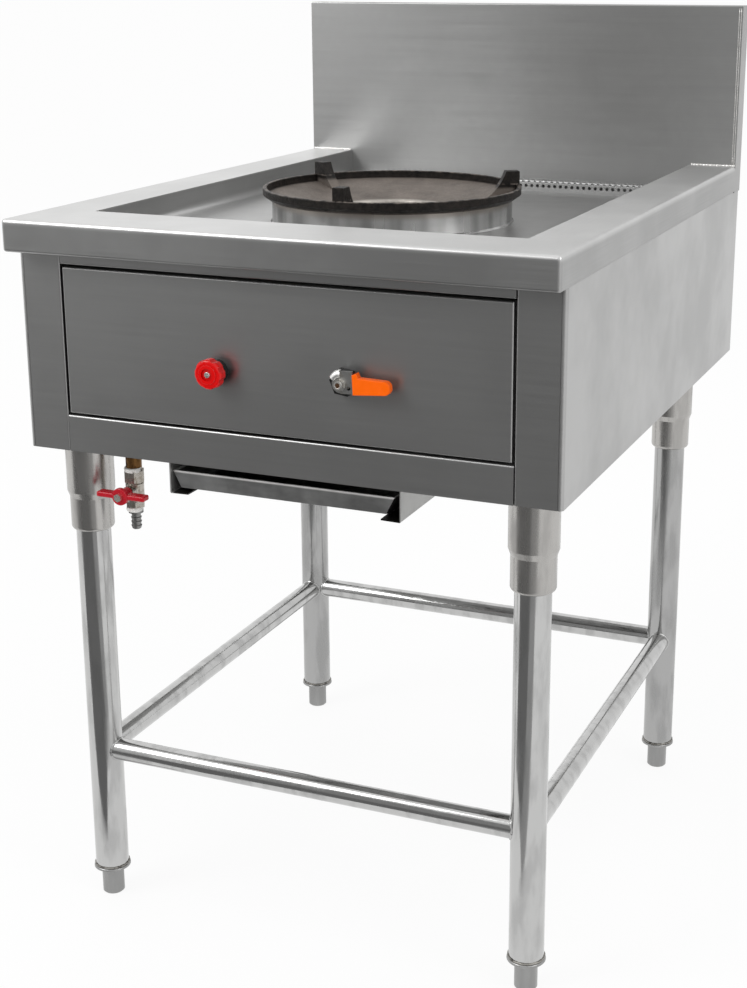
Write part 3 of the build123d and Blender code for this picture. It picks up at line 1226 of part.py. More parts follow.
def pilot_tubes():
    """Small tube from the inlet pipe to the pilot valve, and the one from there to the pilot flame."""
    port = PILOT_HALF_LENGTH / 2
    supply_in = TAP_HEIGHT - PILOT_HALF_LENGTH + port
    supply_out = TAP_HEIGHT + PILOT_HALF_LENGTH - port
    pipe_side = GAS_TAP_X - PIPE_RADIUS
    supply = pipe(
        [
            (pipe_side - BRANCH_SADDLE_LENGTH / 2, BRANCH_Y, INLET_HEIGHT),
            (PILOT_X, BRANCH_Y, INLET_HEIGHT),
            (PILOT_X, VALVE_Y, INLET_HEIGHT),
            (PILOT_X, VALVE_Y, supply_in),
        ],
        SMALL_TUBE_BEND,
        SMALL_TUBE_RADIUS,
        SMALL_TUBE_BORE,
    )
    saddle_span = (pipe_side - BRANCH_SADDLE_LENGTH, GAS_TAP_X)
    pipe_span = (BRANCH_Y - 2 * PIPE_RADIUS, BRANCH_Y + 2 * PIPE_RADIUS)
    saddle = rod_x(saddle_span, BRANCH_Y, INLET_HEIGHT, BRANCH_SADDLE_RADIUS)
    saddle -= rod_y(GAS_TAP_X, pipe_span, INLET_HEIGHT, PIPE_RADIUS)
    saddle -= rod_x(saddle_span, BRANCH_Y, INLET_HEIGHT, SMALL_TUBE_BORE)
    flame_side = BURNER_Y - BRACKET_WIDTH
    run_height = CHAMBER_BOTTOM - PILOT_RUN_CLEARANCE - SMALL_TUBE_RADIUS
    tip_height = BURNER_TOP - PILOT_TIP_DROP
    feed = pipe(
        [
            (PILOT_X, VALVE_Y, supply_out),
            (PILOT_X, VALVE_Y, run_height),
            (PILOT_X, flame_side, run_height),
            (PILOT_X, flame_side, tip_height),
        ],
        SMALL_TUBE_BEND,
        SMALL_TUBE_RADIUS,
        SMALL_TUBE_BORE,
    )
    tip = (tip_height - PILOT_TIP_LENGTH, tip_height)
    nozzle = rod_z(PILOT_X, flame_side, tip, PILOT_TIP_RADIUS)
    nozzle -= rod_z(PILOT_X, flame_side, tip, SMALL_TUBE_BORE)
    return Compound(children=[supply + saddle, feed + nozzle])


# ---------------------------------------------------------------------------------------------------
# Gutter drain
# ---------------------------------------------------------------------------------------------------


def drain_pipe():
    """Pipe from the trough, forward under the deck and down through the cabinet floor."""
    trough_y = SPLASH_FRONT - TROUGH_WIDTH / 2
    trough_underside = TROUGH_FLOOR - SHEET
    points = [
        (DRAIN_X, trough_y, trough_underside),
        (DRAIN_X, trough_y, trough_underside - DRAIN_KNEE_BELOW_TROUGH),
        (DRAIN_X, DRAIN_TAP_Y, CABINET_BOTTOM + DRAIN_RUN_END_RISE),
        (DRAIN_X, DRAIN_TAP_Y, DRAIN_TAP_TOP - DRAIN_THREAD),
    ]
    return pipe(points, DRAIN_BEND, DRAIN_RADIUS, DRAIN_BORE)


def drain_valve_body():
    """Small ball-valve body that hangs on the drain pipe, with the stem boss at its front."""
    hexagon_bottom = DRAIN_TAP_TOP - DRAIN_HEX_HEIGHT
    barrel_top = hexagon_bottom - DRAIN_NECK_HEIGHT
    barrel_bottom = DRAIN_TAP_BOTTOM + DRAIN_LOWER_HEX_HEIGHT
    body = rod_z(DRAIN_X, DRAIN_TAP_Y, (DRAIN_TAP_BOTTOM, DRAIN_TAP_TOP), DRAIN_NECK_RADIUS)
    body += hexagon_z(DRAIN_X, DRAIN_TAP_Y, (hexagon_bottom, DRAIN_TAP_TOP), DRAIN_HEX_FLATS)
    body += rod_z(DRAIN_X, DRAIN_TAP_Y, (barrel_bottom, barrel_top), DRAIN_BODY_RADIUS)
    body += hexagon_z(DRAIN_X, DRAIN_TAP_Y, (DRAIN_TAP_BOTTOM, barrel_bottom), DRAIN_LOWER_HEX_FLATS)
    body += rod_y(DRAIN_X, (DRAIN_TAP_Y - DRAIN_BOSS_REACH, DRAIN_TAP_Y), DRAIN_AXIS, DRAIN_BOSS_RADIUS)
    body -= Pos(DRAIN_X, DRAIN_TAP_Y, DRAIN_AXIS) * Sphere(DRAIN_BALL_RADIUS + BALL_PLAY)
    body -= rod_z(DRAIN_X, DRAIN_TAP_Y, (DRAIN_TAP_BOTTOM, DRAIN_TAP_TOP), DRAIN_BALL_BORE)
    pipe_end = DRAIN_TAP_TOP - DRAIN_THREAD
    body -= rod_z(DRAIN_X, DRAIN_TAP_Y, (pipe_end, DRAIN_TAP_TOP), DRAIN_RADIUS + PORT_FIT)
    barb_end = DRAIN_TAP_BOTTOM + BARB_THREAD_LENGTH
    body -= rod_z(DRAIN_X, DRAIN_TAP_Y, (DRAIN_TAP_BOTTOM, barb_end), BARB_THREAD_RADIUS + PORT_FIT)
    boss = (DRAIN_TAP_Y - DRAIN_BOSS_REACH, DRAIN_TAP_Y)
    return body - rod_y(DRAIN_X, boss, DRAIN_AXIS, DRAIN_STEM_RADIUS + STEM_PLAY)


def drain_valve_ball():
    """Ball with its stem; the bore lies across the flow while the tap is shut."""
    stem_front = HANDLE_FRONT - HANDLE_NUT_HEIGHT / 2
    ball = Pos(DRAIN_X, DRAIN_TAP_Y, DRAIN_AXIS) * Rot(0, 90, 0) * Sphere(DRAIN_BALL_RADIUS)
    ball += rod_y(DRAIN_X, (stem_front, DRAIN_TAP_Y - DRAIN_BALL_BORE), DRAIN_AXIS, DRAIN_STEM_RADIUS)
    reach = DRAIN_BALL_RADIUS + BALL_PLAY
    return ball - rod_x((DRAIN_X - reach, DRAIN_X + reach), DRAIN_TAP_Y, DRAIN_AXIS, DRAIN_BALL_BORE)


def drain_handle():
    """Butterfly handle: hub, neck and two wings."""
    hub_back = HANDLE_FRONT + HANDLE_HUB_LENGTH
    handle = rod_y(DRAIN_X, (HANDLE_FRONT, hub_back), DRAIN_AXIS, HANDLE_HUB_RADIUS)
    handle = fillet(handle.edges().group_by(Axis.Y)[0], HANDLE_HUB_ROUND)
    handle += rod_y(DRAIN_X, (HANDLE_FRONT + HANDLE_FACE, HANDLE_BACK), DRAIN_AXIS, HANDLE_NECK_RADIUS)
    half_wing = HANDLE_WING_THICKNESS / 2
    wings = block(
        (DRAIN_X - HANDLE_HALF_SPAN, DRAIN_X + HANDLE_HALF_SPAN),
        (HANDLE_FRONT + HANDLE_FACE, HANDLE_FRONT + HANDLE_FACE + HANDLE_WING_DEPTH),
        (DRAIN_AXIS - half_wing, DRAIN_AXIS + half_wing),
    )
    handle += fillet(wings.edges(), HANDLE_WING_ROUND)
    stem_hole = rod_y(DRAIN_X, (HANDLE_FRONT, HANDLE_BACK), DRAIN_AXIS, DRAIN_STEM_RADIUS + STEM_PLAY)
    return handle - stem_hole


def drain_handle_nut():
    """Nut on the end of the drain tap's stem."""
    front = HANDLE_FRONT - HANDLE_NUT_HEIGHT
    nut = hexagon_y(DRAIN_X, (front, HANDLE_FRONT), DRAIN_AXIS, HANDLE_NUT_FLATS)
    stem = (HANDLE_FRONT - HANDLE_NUT_HEIGHT / 2, HANDLE_FRONT)
    return nut - rod_y(DRAIN_X, stem, DRAIN_AXIS, DRAIN_STEM_RADIUS + STEM_PLAY)


def drain_hose_barb():
    """Hose tail screwed into the tap, with sloping ribs."""
    thread_top = DRAIN_TAP_BOTTOM + BARB_THREAD_LENGTH
    collar_bottom = DRAIN_TAP_BOTTOM - BARB_COLLAR_HEIGHT
    rib_pitch = BARB_LENGTH / (BARB_RIBS + 1)
    points = [
        (BARB_BORE, thread_top),
        (BARB_THREAD_RADIUS, thread_top),
        (BARB_THREAD_RADIUS, collar_bottom),
        (BARB_RADIUS, collar_bottom),
    ]
    for index in range(BARB_RIBS):
        rib_top = collar_bottom - rib_pitch * (index + 1)
        points.append((BARB_RADIUS, rib_top))
        points.append((BARB_RADIUS + BARB_RIB, rib_top - BARB_RIB / 2))
        points.append((BARB_RADIUS, rib_top - rib_pitch * BARB_SLOPE_SHARE))
    points.append((BARB_RADIUS - BARB_RIB, collar_bottom - BARB_LENGTH))
    points.append((BARB_BORE, collar_bottom - BARB_LENGTH))
    return turned_z(points, DRAIN_X, DRAIN_TAP_Y)


# ---------------------------------------------------------------------------------------------------
# Assembly
# ---------------------------------------------------------------------------------------------------


def all_parts():
    """Every piece by its name, in the frame that has Y 0 at the front of the rim."""
    right_post = front_post()
    right_side = side_panel()
    parts = {
        "hob_rim": hob_rim(),
        "hob_deck": hob_deck(),
        "gutter_trough": gutter_trough(),
        "gutter_strainer": gutter_strainer(),
        "backsplash": backsplash(),
        "burner_collar": burner_collar(),
        "wok_ring": wok_ring(),
        "front_post_left": mirrored(right_post),
        "front_post_right": right_post,
        "front_rail_lower": front_rail_lower(),
        "front_rail_upper": front_rail_upper(),
        "control_panel": control_panel(),
        "side_panel_left": mirrored(right_side),
        "side_panel_right": right_side,
        "rear_panel": rear_panel(),
        "rear_screws": rear_screws(),
        "base_panel": base_panel(),
        "tray_rail_left": tray_rail(-1),
        "tray_rail_right": tray_rail(1),
        "drip_tray": drip_tray(),
        "foot_ferrules": foot_ferrules(),
        "combustion_chamber": combustion_chamber(),
        "burner": burner(),
        "burner_bracket": burner_bracket(),
        "gas_injector": gas_injector(),
        "gas_inlet_pipe": gas_inlet_pipe(),
        "burner_feed_pipe": burner_feed_pipe(),
        "gas_valve_body": gas_valve_body(),
        "gas_valve_ball": gas_valve_ball(),
        "gas_lever": gas_lever(),
        "gas_lever_sleeve": gas_lever_sleeve(),
        "gas_lever_nut": gas_lever_nut(),
        "pilot_valve_body": pilot_valve_body(),
        "pilot_collar": pilot_collar(),
        "pilot_needle": pilot_needle(),
        "pilot_knob": pilot_knob(),
        "pilot_knob_screw": pilot_knob_screw(),
        "pilot_tubes": pilot_tubes(),
        "drain_pipe": drain_pipe(),
        "drain_valve_body": drain_valve_body(),
        "drain_valve_ball": drain_valve_ball(),
        "drain_handle": drain_handle(),
        "drain_handle_nut": drain_handle_nut(),
        "drain_hose_barb": drain_hose_barb(),
    }
    for corner, (x, y) in LEG_SPOTS.items():
        parts[f"leg_socket_{corner}"] = leg_socket(x, y)
        parts[f"leg_tube_{corner}"] = leg_tube(x, y)
        parts[f"levelling_foot_{corner}"] = levelling_foot(x, y)
    parts["stretcher_front"] = stretcher(LEG_SPOTS["front_left"], LEG_SPOTS["front_right"])
    parts["stretcher_rear"] = stretcher(LEG_SPOTS["rear_left"], LEG_SPOTS["rear_right"])
    parts["stretcher_left"] = stretcher(LEG_SPOTS["front_left"], LEG_SPOTS["rear_left"])
    parts["stretcher_right"] = stretcher(LEG_SPOTS["front_right"], LEG_SPOTS["rear_right"])
    return parts


os.makedirs("parts", exist_ok=True)
for name, shape in all_parts().items():
    export_step(Pos(0, -ORIGIN_Y, 0) * shape, f"parts/{name}.step")
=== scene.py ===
import json
import math

import bmesh
import bpy
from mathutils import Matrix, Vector, noise


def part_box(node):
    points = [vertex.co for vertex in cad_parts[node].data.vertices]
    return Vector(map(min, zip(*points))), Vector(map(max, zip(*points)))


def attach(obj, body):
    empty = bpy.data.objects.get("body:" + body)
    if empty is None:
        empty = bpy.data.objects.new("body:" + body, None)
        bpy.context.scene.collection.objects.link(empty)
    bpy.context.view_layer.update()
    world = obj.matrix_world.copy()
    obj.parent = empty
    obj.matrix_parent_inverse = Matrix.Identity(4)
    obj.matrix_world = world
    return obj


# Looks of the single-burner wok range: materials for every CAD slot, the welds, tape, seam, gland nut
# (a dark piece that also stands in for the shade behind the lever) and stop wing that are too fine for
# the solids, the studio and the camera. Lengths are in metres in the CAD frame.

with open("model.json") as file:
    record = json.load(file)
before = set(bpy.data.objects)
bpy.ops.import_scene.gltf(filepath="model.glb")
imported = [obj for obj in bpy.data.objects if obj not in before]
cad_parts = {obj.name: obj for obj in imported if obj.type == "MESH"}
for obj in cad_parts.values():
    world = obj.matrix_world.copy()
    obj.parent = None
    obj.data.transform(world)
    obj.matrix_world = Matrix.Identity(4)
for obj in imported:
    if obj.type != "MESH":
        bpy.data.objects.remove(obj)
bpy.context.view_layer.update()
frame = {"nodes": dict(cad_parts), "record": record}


# ---------------------------------------------------------------------------------------------------
# Node helpers
# ---------------------------------------------------------------------------------------------------


NOISE_SPAN = (0.3, 0.7)  # most values of a noise lie in it


class Nodes:
    """Short calls that add and join the nodes of one tree."""

    def __init__(self, tree):
        self.tree = tree

    def node(self, kind, **settings):
        """New node of a kind, with its settings."""
        made = self.tree.nodes.new(kind)
        for key, value in settings.items():
            setattr(made, key, value)
        return made

    def join(self, output, socket):
        """Links an output to an input."""
        self.tree.links.new(output, socket)

    def remap(self, value, from_range, to_range=(0, 1), smooth=False):
        """Linear or smooth change of range, held at its ends."""
        made = self.node("ShaderNodeMapRange")
        made.interpolation_type = "SMOOTHSTEP" if smooth else "LINEAR"
        made.inputs["From Min"].default_value = from_range[0]
        made.inputs["From Max"].default_value = from_range[1]
        made.inputs["To Min"].default_value = to_range[0]
        made.inputs["To Max"].default_value = to_range[1]
        self.join(value, made.inputs["Value"])
        return made.outputs["Result"]

    def maths(self, operation, first, second):
        """Arithmetic on two values; each is a socket or a number."""
        made = self.node("ShaderNodeMath", operation=operation)
        for socket, value in zip(made.inputs, (first, second)):
            if isinstance(value, (int, float)):
                socket.default_value = value
            else:
                self.join(value, socket)
        return made.outputs[0]

    def mix_numbers(self, factor, first, second):
        """Mix of two numbers; the first is a socket, the second a socket or a number."""
        made = self.node("ShaderNodeMix", data_type="FLOAT")
        self.join(factor, made.inputs["Factor"])
        self.join(first, made.inputs[2])
        if isinstance(second, (int, float)):
            made.inputs[3].default_value = second
        else:
            self.join(second, made.inputs[3])
        return made.outputs[0]


class Paint(Nodes):
    """One material with the Principled shader, and the calls that fill it."""

    def __init__(self, name):
        self.material = bpy.data.materials.new(name)
        self.material.use_nodes = True
        super().__init__(self.material.node_tree)
        self.bsdf = self.tree.nodes["Principled BSDF"]
        self.normal = None

    def place(self, scale=(1, 1, 1)):
        """Position on the object, stretched by a scale for each axis."""
        coordinates = self.node("ShaderNodeTexCoord")
        mapping = self.node("ShaderNodeMapping")
        mapping.inputs["Scale"].default_value = scale
        self.join(coordinates.outputs["Object"], mapping.inputs["Vector"])
        return mapping.outputs["Vector"]

    def axis(self, name):
        """One coordinate of the position on the object."""
        split = self.node("ShaderNodeSeparateXYZ")
        self.join(self.place(), split.inputs["Vector"])
        return split.outputs[name]

    def distance(self, middle, across):
        """Distance from a line through the middle; across is 1 for each axis that counts, else 0."""
        coordinates = self.node("ShaderNodeTexCoord")
        offset = self.node("ShaderNodeVectorMath", operation="MULTIPLY_ADD")
        offset.inputs[1].default_value = across
        offset.inputs[2].default_value = [-value * counts for value, counts in zip(middle, across)]
        self.join(coordinates.outputs["Object"], offset.inputs[0])
        length = self.node("ShaderNodeVectorMath", operation="LENGTH")
        self.join(offset.outputs["Vector"], length.inputs[0])
        return length.outputs["Value"]

    def noise(self, scale, detail=2.0, rough=0.5):
        """Noise between 0 and 1; its scale is one number, or one for each axis."""
        made = self.node("ShaderNodeTexNoise")
        made.inputs["Scale"].default_value = 1.0
        made.inputs["Detail"].default_value = detail
        made.inputs["Roughness"].default_value = rough
        each_axis = scale if isinstance(scale, tuple) else (scale, scale, scale)
        self.join(self.place(each_axis), made.inputs["Vector"])
        return made.outputs["Fac"]

    def blend(self, factor, first, second):
        """Mix of two colours; each is a socket or three numbers."""
        made = self.node("ShaderNodeMix", data_type="RGBA")
        self.join(factor, made.inputs["Factor"])
        for socket, value in ((made.inputs[6], first), (made.inputs[7], second)):
            if isinstance(value, tuple):
                socket.default_value = (*value, 1)
            else:
                self.join(value, socket)
        return made.outputs[2]

    def tone(self, factor, colour, at_none, at_full):
        """Mix of two shades of one colour, for a factor of 0 and of 1."""
        return self.blend(factor, shade(colour, at_none), shade(colour, at_full))

    def bump(self, value, height):
        """Adds a height in metres on top of the bumps so far."""
        made = self.node("ShaderNodeBump")
        made.inputs["Strength"].default_value = 1.0
        made.inputs["Distance"].default_value = height
        self.join(value, made.inputs["Height"])
        if self.normal is not None:
            self.join(self.normal, made.inputs["Normal"])
        self.normal = made.outputs["Normal"]
        self.join(self.normal, self.bsdf.inputs["Normal"])

    def set(self, **values):
        """Sets plain values on the shader's own sockets."""
        for key, value in values.items():
            self.bsdf.inputs[key.replace("_", " ")].default_value = value

    def brushed(self, along, amount):
        """Stretches highlights across the brushing direction."""
        quarter_turn = 0.25
        direction = self.node("ShaderNodeCombineXYZ")
        direction.inputs[along.upper()].default_value = 1.0
        self.join(direction.outputs[0], self.bsdf.inputs["Tangent"])
        self.set(Anisotropic=amount, Anisotropic_Rotation=quarter_turn)

    def colour(self, output):
        """Drives the shader's colour."""
        self.join(output, self.bsdf.inputs["Base Color"])

    def roughness(self, output):
        """Drives the shader's roughness."""
        self.join(output, self.bsdf.inputs["Roughness"])

    def vary_roughness(self, noise_value, rough, less, more):
        """Roughness that follows a noise, from less to more than its middle value."""
        self.roughness(self.remap(noise_value, NOISE_SPAN, (rough - less, rough + more)))


def middle_of(node):
    """Middle of a CAD node's box."""
    low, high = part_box(node)
    return (low + high) / 2


def shade(colour, factor):
    """A colour made lighter or darker."""
    return tuple(min(1.0, channel * factor) for channel in colour)


# ---------------------------------------------------------------------------------------------------
# Materials
# ---------------------------------------------------------------------------------------------------

LINES_LENGTHWISE = 9  # noise scale along the brushing lines
LINES_ACROSS = 1300
CLOUD_SPAN = (0.35, 0.68)  # part of the noise that fades from one shade to the other
STAINLESS = (0.56, 0.56, 0.555)


def line_noise(paint, along, lengthwise=LINES_LENGTHWISE, across=LINES_ACROSS, detail=3):
    """Noise drawn out into fine lines along one axis."""
    return paint.noise(tuple(lengthwise if axis == along else across for axis in "xyz"), detail=detail)


def brushed_steel(name, share, rough, along, streak=0.05, cloud=0.06, stretch=0.55, lines=0.000012):
    """Sheet steel brushed along one axis, with streaks, wiped clouds and a slight waviness.

    Its colour is a share of plain stainless steel. Streaks and clouds are shares of that colour, the
    stretch is that of the highlights, and the lines are the height of the brushing in metres.
    """
    paint = Paint(name)
    paint.set(Metallic=1.0)
    paint.brushed(along, stretch)
    colour = shade(STAINLESS, share)
    fine_share = 0.6
    cloud_rough = 0.03
    fine = paint.maths("MULTIPLY", line_noise(paint, along), fine_share)
    coarse = line_noise(paint, along, LINES_LENGTHWISE / 2, LINES_ACROSS / 6, detail=2)
    streaks = paint.maths("ADD", fine, paint.maths("MULTIPLY", coarse, 1 - fine_share))
    wiped = paint.remap(paint.noise(7, detail=4, rough=0.6), CLOUD_SPAN, smooth=True)
    toned = paint.tone(wiped, colour, 1 - cloud, 1 + cloud / 2)
    toned_dark = paint.tone(wiped, colour, 1 - cloud - 2 * streak, 1 - streak)
    paint.colour(paint.blend(paint.remap(streaks, NOISE_SPAN), toned_dark, toned))
    rough_streaks = paint.remap(streaks, NOISE_SPAN, (rough - streak, rough + streak))
    rough_clouds = paint.remap(wiped, (0, 1), (cloud_rough, -cloud_rough))
    paint.roughness(paint.maths("ADD", rough_streaks, rough_clouds))
    paint.bump(paint.noise(5, detail=1), height=0.0002)
    paint.bump(streaks, height=lines)
    return paint.material


def rim_steel(name, colour, rough):
    """Brushed along X at the front and along Y at both sides, meeting at the corners; the top is painted
    lighter and the folded apron darker, as painted light and shade.
    """
    paint = Paint(name)
    paint.set(Metallic=1.0)
    paint.brushed("x", 0.5)
    low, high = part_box("hob_rim")
    front_width = 0.084
    side_width = 0.0595
    mitre_blend = 0.004
    fold_start = 0.0075  # below the top, where the apron's darker sheen begins to fade
    fold_end = 0.0005
    from_middle = paint.maths("ABSOLUTE", paint.axis("X"), 0)
    mitre = paint.remap(paint.axis("Y"), (low.y, low.y + front_width), (high.x, high.x - side_width))
    past_mitre = paint.maths("SUBTRACT", from_middle, mitre)
    is_side = paint.remap(past_mitre, (-mitre_blend, mitre_blend), smooth=True)
    streaks = paint.mix_numbers(is_side, line_noise(paint, "x"), line_noise(paint, "y"))
    clouds = paint.remap(paint.noise(6, detail=4, rough=0.6), CLOUD_SPAN, smooth=True)
    # Painted light and shade: the top in a lighter tone of the steel, the folded sheet below it in a darker
    # one
    top = paint.tone(clouds, colour, at_none=0.93, at_full=1.04)
    apron = paint.tone(clouds, colour, at_none=0.54, at_full=0.63)
    lit_top_share = paint.remap(paint.axis("Z"), (high.z - fold_start, high.z - fold_end), smooth=True)
    paint.colour(paint.blend(lit_top_share, apron, top))
    paint.vary_roughness(streaks, rough, less=0.04, more=0.04)
    paint.bump(paint.noise(4, detail=1), height=0.0003)
    paint.bump(streaks, height=0.00001)
    return paint.material


def polished_tube(name, colour, rough):
    """Polished tube with fine lines along it and rubbed marks."""
    paint = Paint(name)
    paint.set(Metallic=1.0)
    lines = paint.noise((900, 900, 4), detail=2)
    marks = paint.noise((60, 60, 16), detail=3)
    rubbed_and_lit = paint.remap(marks, (0.42, 0.66), smooth=True)
    paint.colour(paint.tone(rubbed_and_lit, colour, at_none=1.05, at_full=0.88))
    worn = paint.maths("ADD", lines, rubbed_and_lit)
    paint.roughness(paint.remap(worn, (0.4, 1.6), (rough - 0.05, rough + 0.10)))
    paint.bump(paint.noise((14, 14, 5), detail=1), height=0.0005)
    paint.bump(lines, height=0.00002)
    return paint.material


def turned_steel(name, colour, rough):
    """Turned steel, with fine rings round its axis."""
    paint = Paint(name)
    paint.set(Metallic=1.0)
    rings = paint.noise((4, 4, 2400), detail=2)
    clouds = paint.remap(paint.noise((60, 60, 9), detail=4), (0.35, 0.7), smooth=True)
    paint.colour(paint.tone(clouds, colour, at_none=0.80, at_full=1.02))
    paint.vary_roughness(rings, rough, less=0.03, more=0.04)
    paint.bump(rings, height=0.00001)
    return paint.material


def banded_collar_steel(name, colour, rough):
    """Collar round the fire: rolled steel with painted upright sheen bands, and painted shade in a faintly
    warm band at its top, under the ring.
    """
    paint = Paint(name)
    paint.set(Metallic=1.0)
    ring_shade_colour = (0.34, 0.31, 0.28)
    shade_start = 0.0085  # below the collar's top
    shade_end = 0.0005
    upright = paint.noise((36, 36, 3), detail=2)
    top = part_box("burner_collar")[1].z
    # Painted shade: the collar's top is darkened, faintly warm, where the ring shades it
    under_ring_shade = paint.remap(paint.axis("Z"), (top - shade_start, top - shade_end), smooth=True)
    # Painted sheen: upright lighter and darker bands across the collar's colour
    bands = paint.remap(upright, (0.35, 0.65), smooth=True)
    plain = paint.tone(bands, colour, at_none=0.58, at_full=1.2)
    paint.colour(paint.blend(under_ring_shade, plain, ring_shade_colour))
    paint.vary_roughness(upright, rough, less=0.06, more=0.08)
    paint.bump(paint.noise((22, 22, 6), detail=2), height=0.0004)
    return paint.material


def cast_iron(name, dark, worn):
    """Rough cast iron; the dish of the ring is worn to a smoother grey-brown."""
    paint = Paint(name)
    paint.set(Specular_IOR_Level=0.25)
    polished = (0.62, 0.58, 0.53)
    hole_radius = 0.065
    lip_rise = 0.0135  # collar's top to the top of the lip
    dish_start, dish_end = 0.004, 0.009  # inside the ring's edge
    hole_start, hole_end = 0.007, 0.001  # outside the hole's edge
    lug_start, lug_end = 0.0025, 0.0065  # below the top of the lip
    lip_start, lip_end = 0.0010, 0.0003  # below the top of the lip
    above_start, above_end = 0.0008, 0.0002  # above it, where only the lugs are
    dish_rough = 0.06
    low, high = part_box("wok_ring")
    edge_radius = (high.x - low.x) / 2
    lip_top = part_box("burner_collar")[1].z + lip_rise
    radius = paint.distance(middle_of("burner_collar"), (1, 1, 0))
    height = paint.axis("Z")

    grain = paint.noise(420, detail=5, rough=0.7)
    patches = paint.noise(28, detail=4, rough=0.65)
    specks = paint.noise(130, detail=5, rough=0.7)

    in_dish = paint.remap(radius, (edge_radius - dish_start, edge_radius - dish_end), smooth=True)
    below_lugs = paint.remap(height, (lip_top - lug_start, lip_top - lug_end), smooth=True)
    bare = paint.maths("MULTIPLY", in_dish, below_lugs)
    bare_patches = paint.maths("MULTIPLY", bare, paint.remap(patches, (0.25, 0.75), (0.45, 1.0)))
    at_hole = paint.remap(radius, (hole_radius + hole_start, hole_radius + hole_end), smooth=True)

    on_lip = paint.remap(height, (lip_top - lip_start, lip_top - lip_end), smooth=True)
    not_lug = paint.remap(height, (lip_top + above_start, lip_top + above_end))
    rubbed_specks = paint.maths("MULTIPLY", not_lug, paint.remap(specks, (0.42, 0.66)))
    edge_wear = paint.maths("MULTIPLY", on_lip, rubbed_specks)

    mottled = paint.tone(paint.remap(specks, (0.38, 0.66)), dark, at_none=0.45, at_full=2.1)
    rough_iron = paint.blend(edge_wear, mottled, shade(worn, 0.9))
    worn_iron = paint.blend(at_hole, worn, polished)
    paint.colour(paint.blend(bare_patches, rough_iron, worn_iron))
    paint.join(paint.remap(at_hole, (0, 1), (0.3, 1.0)), paint.bsdf.inputs["Metallic"])
    rough = paint.remap(grain, NOISE_SPAN, (0.34, 0.60))
    paint.roughness(paint.maths("ADD", rough, paint.maths("MULTIPLY", bare, dish_rough)))
    paint.bump(patches, height=0.0012)
    paint.bump(grain, height=0.0006)
    return paint.material


def moulded(name, colour, rough, shine, pits=0.00006):
    """Plastic or enamel with a faint mottling and a fine uneven surface."""
    mottling = 0.06
    paint = Paint(name)
    paint.set(Specular_IOR_Level=shine)
    cloud = paint.noise(140, detail=4)
    paint.colour(paint.tone(cloud, colour, 1 - mottling, 1 + mottling))
    paint.vary_roughness(cloud, rough, less=0.06, more=0.06)
    paint.bump(paint.noise(900, detail=2), height=pits)
    return paint.material


def plated(name, colour, rough, stain, stain_amount):
    """Plated or bare small metal, with tarnish in patches."""
    paint = Paint(name)
    paint.set(Metallic=1.0)
    patches = paint.noise(190, detail=5, rough=0.65)
    spots = paint.remap(patches, (0.48, 0.66), (0, stain_amount), smooth=True)
    paint.colour(paint.blend(spots, colour, stain))
    paint.vary_roughness(patches, rough, less=0.07, more=0.12)
    paint.bump(paint.noise(700, detail=3), height=0.00008)
    return paint.material


def worn_stem(name, middle):
    """Zinc-plated stem whose end is rusty brown round its centre mark."""
    paint = Paint(name)
    paint.set(Metallic=1.0)
    zinc = (0.88, 0.87, 0.84)
    dark_rust = (0.10, 0.05, 0.03)
    light_rust = (0.34, 0.20, 0.12)
    mark_radius = 0.0024
    radius = paint.distance(middle, (1, 0, 1))
    speckle = paint.noise(900, detail=3)
    rust = paint.blend(speckle, dark_rust, light_rust)
    at_centre = paint.remap(radius, (mark_radius + 0.0005, mark_radius), smooth=True)
    paint.colour(paint.blend(at_centre, zinc, rust))
    paint.roughness(paint.remap(speckle, NOISE_SPAN, (0.22, 0.34)))
    paint.bump(paint.maths("SUBTRACT", speckle, at_centre), height=0.0002)
    return paint.material


def tray_steel(name, colour, rough):
    """Dull brushed tray with a painted highlight on its rolled edge."""
    paint = Paint(name)
    paint.set(Metallic=1.0)
    paint.brushed("x", 0.5)
    hem_highlight = (0.95, 0.94, 0.92)
    edge_rough = 0.16
    hem_bottom = 0.0028  # below the tray's top
    hem_middle = 0.0008
    smear = paint.noise((14, 14, 30), detail=5, rough=0.6)
    upright = paint.noise((70, 2, 2), detail=3)
    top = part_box("drip_tray")[1].z
    # Painted highlight: the rolled edge is painted near-white and made rougher
    rubbed_and_lit = paint.remap(paint.axis("Z"), (top - hem_bottom, top - hem_middle), smooth=True)
    wiped = paint.remap(smear, (0.35, 0.65), smooth=True)
    stained = paint.tone(wiped, colour, at_none=0.72, at_full=1.1)
    paint.colour(paint.blend(rubbed_and_lit, stained, hem_highlight))
    dull = paint.remap(upright, NOISE_SPAN, (rough - 0.05, rough + 0.08))
    paint.roughness(paint.maths("ADD", dull, paint.maths("MULTIPLY", rubbed_and_lit, edge_rough)))
    paint.bump(smear, height=0.0003)
    return paint.material


def dark_inside_steel(name, outside, inside):
    """Tray rail: dull steel outside, near-black in patches on the faces turned inwards."""
    paint = Paint(name)
    paint.set(Metallic=0.8)
    dark_patches = paint.noise(40, detail=5, rough=0.65)
    from_middle = paint.maths("ABSOLUTE", paint.axis("X"), 0)
    outer_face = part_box("tray_rail_right")[1].x
    sheet = 0.0015
    # The faces turned inwards are made near-black, with a patchy edge
    is_inside = paint.remap(from_middle, (outer_face - sheet / 5, outer_face - sheet))
    cover = paint.maths("MULTIPLY", is_inside, paint.remap(dark_patches, (0.1, 0.5), (0.75, 1.0)))
    paint.colour(paint.blend(cover, outside, inside))
    paint.roughness(paint.remap(dark_patches, NOISE_SPAN, (0.34, 0.5)))
    paint.bump(dark_patches, height=0.0003)
    return paint.material


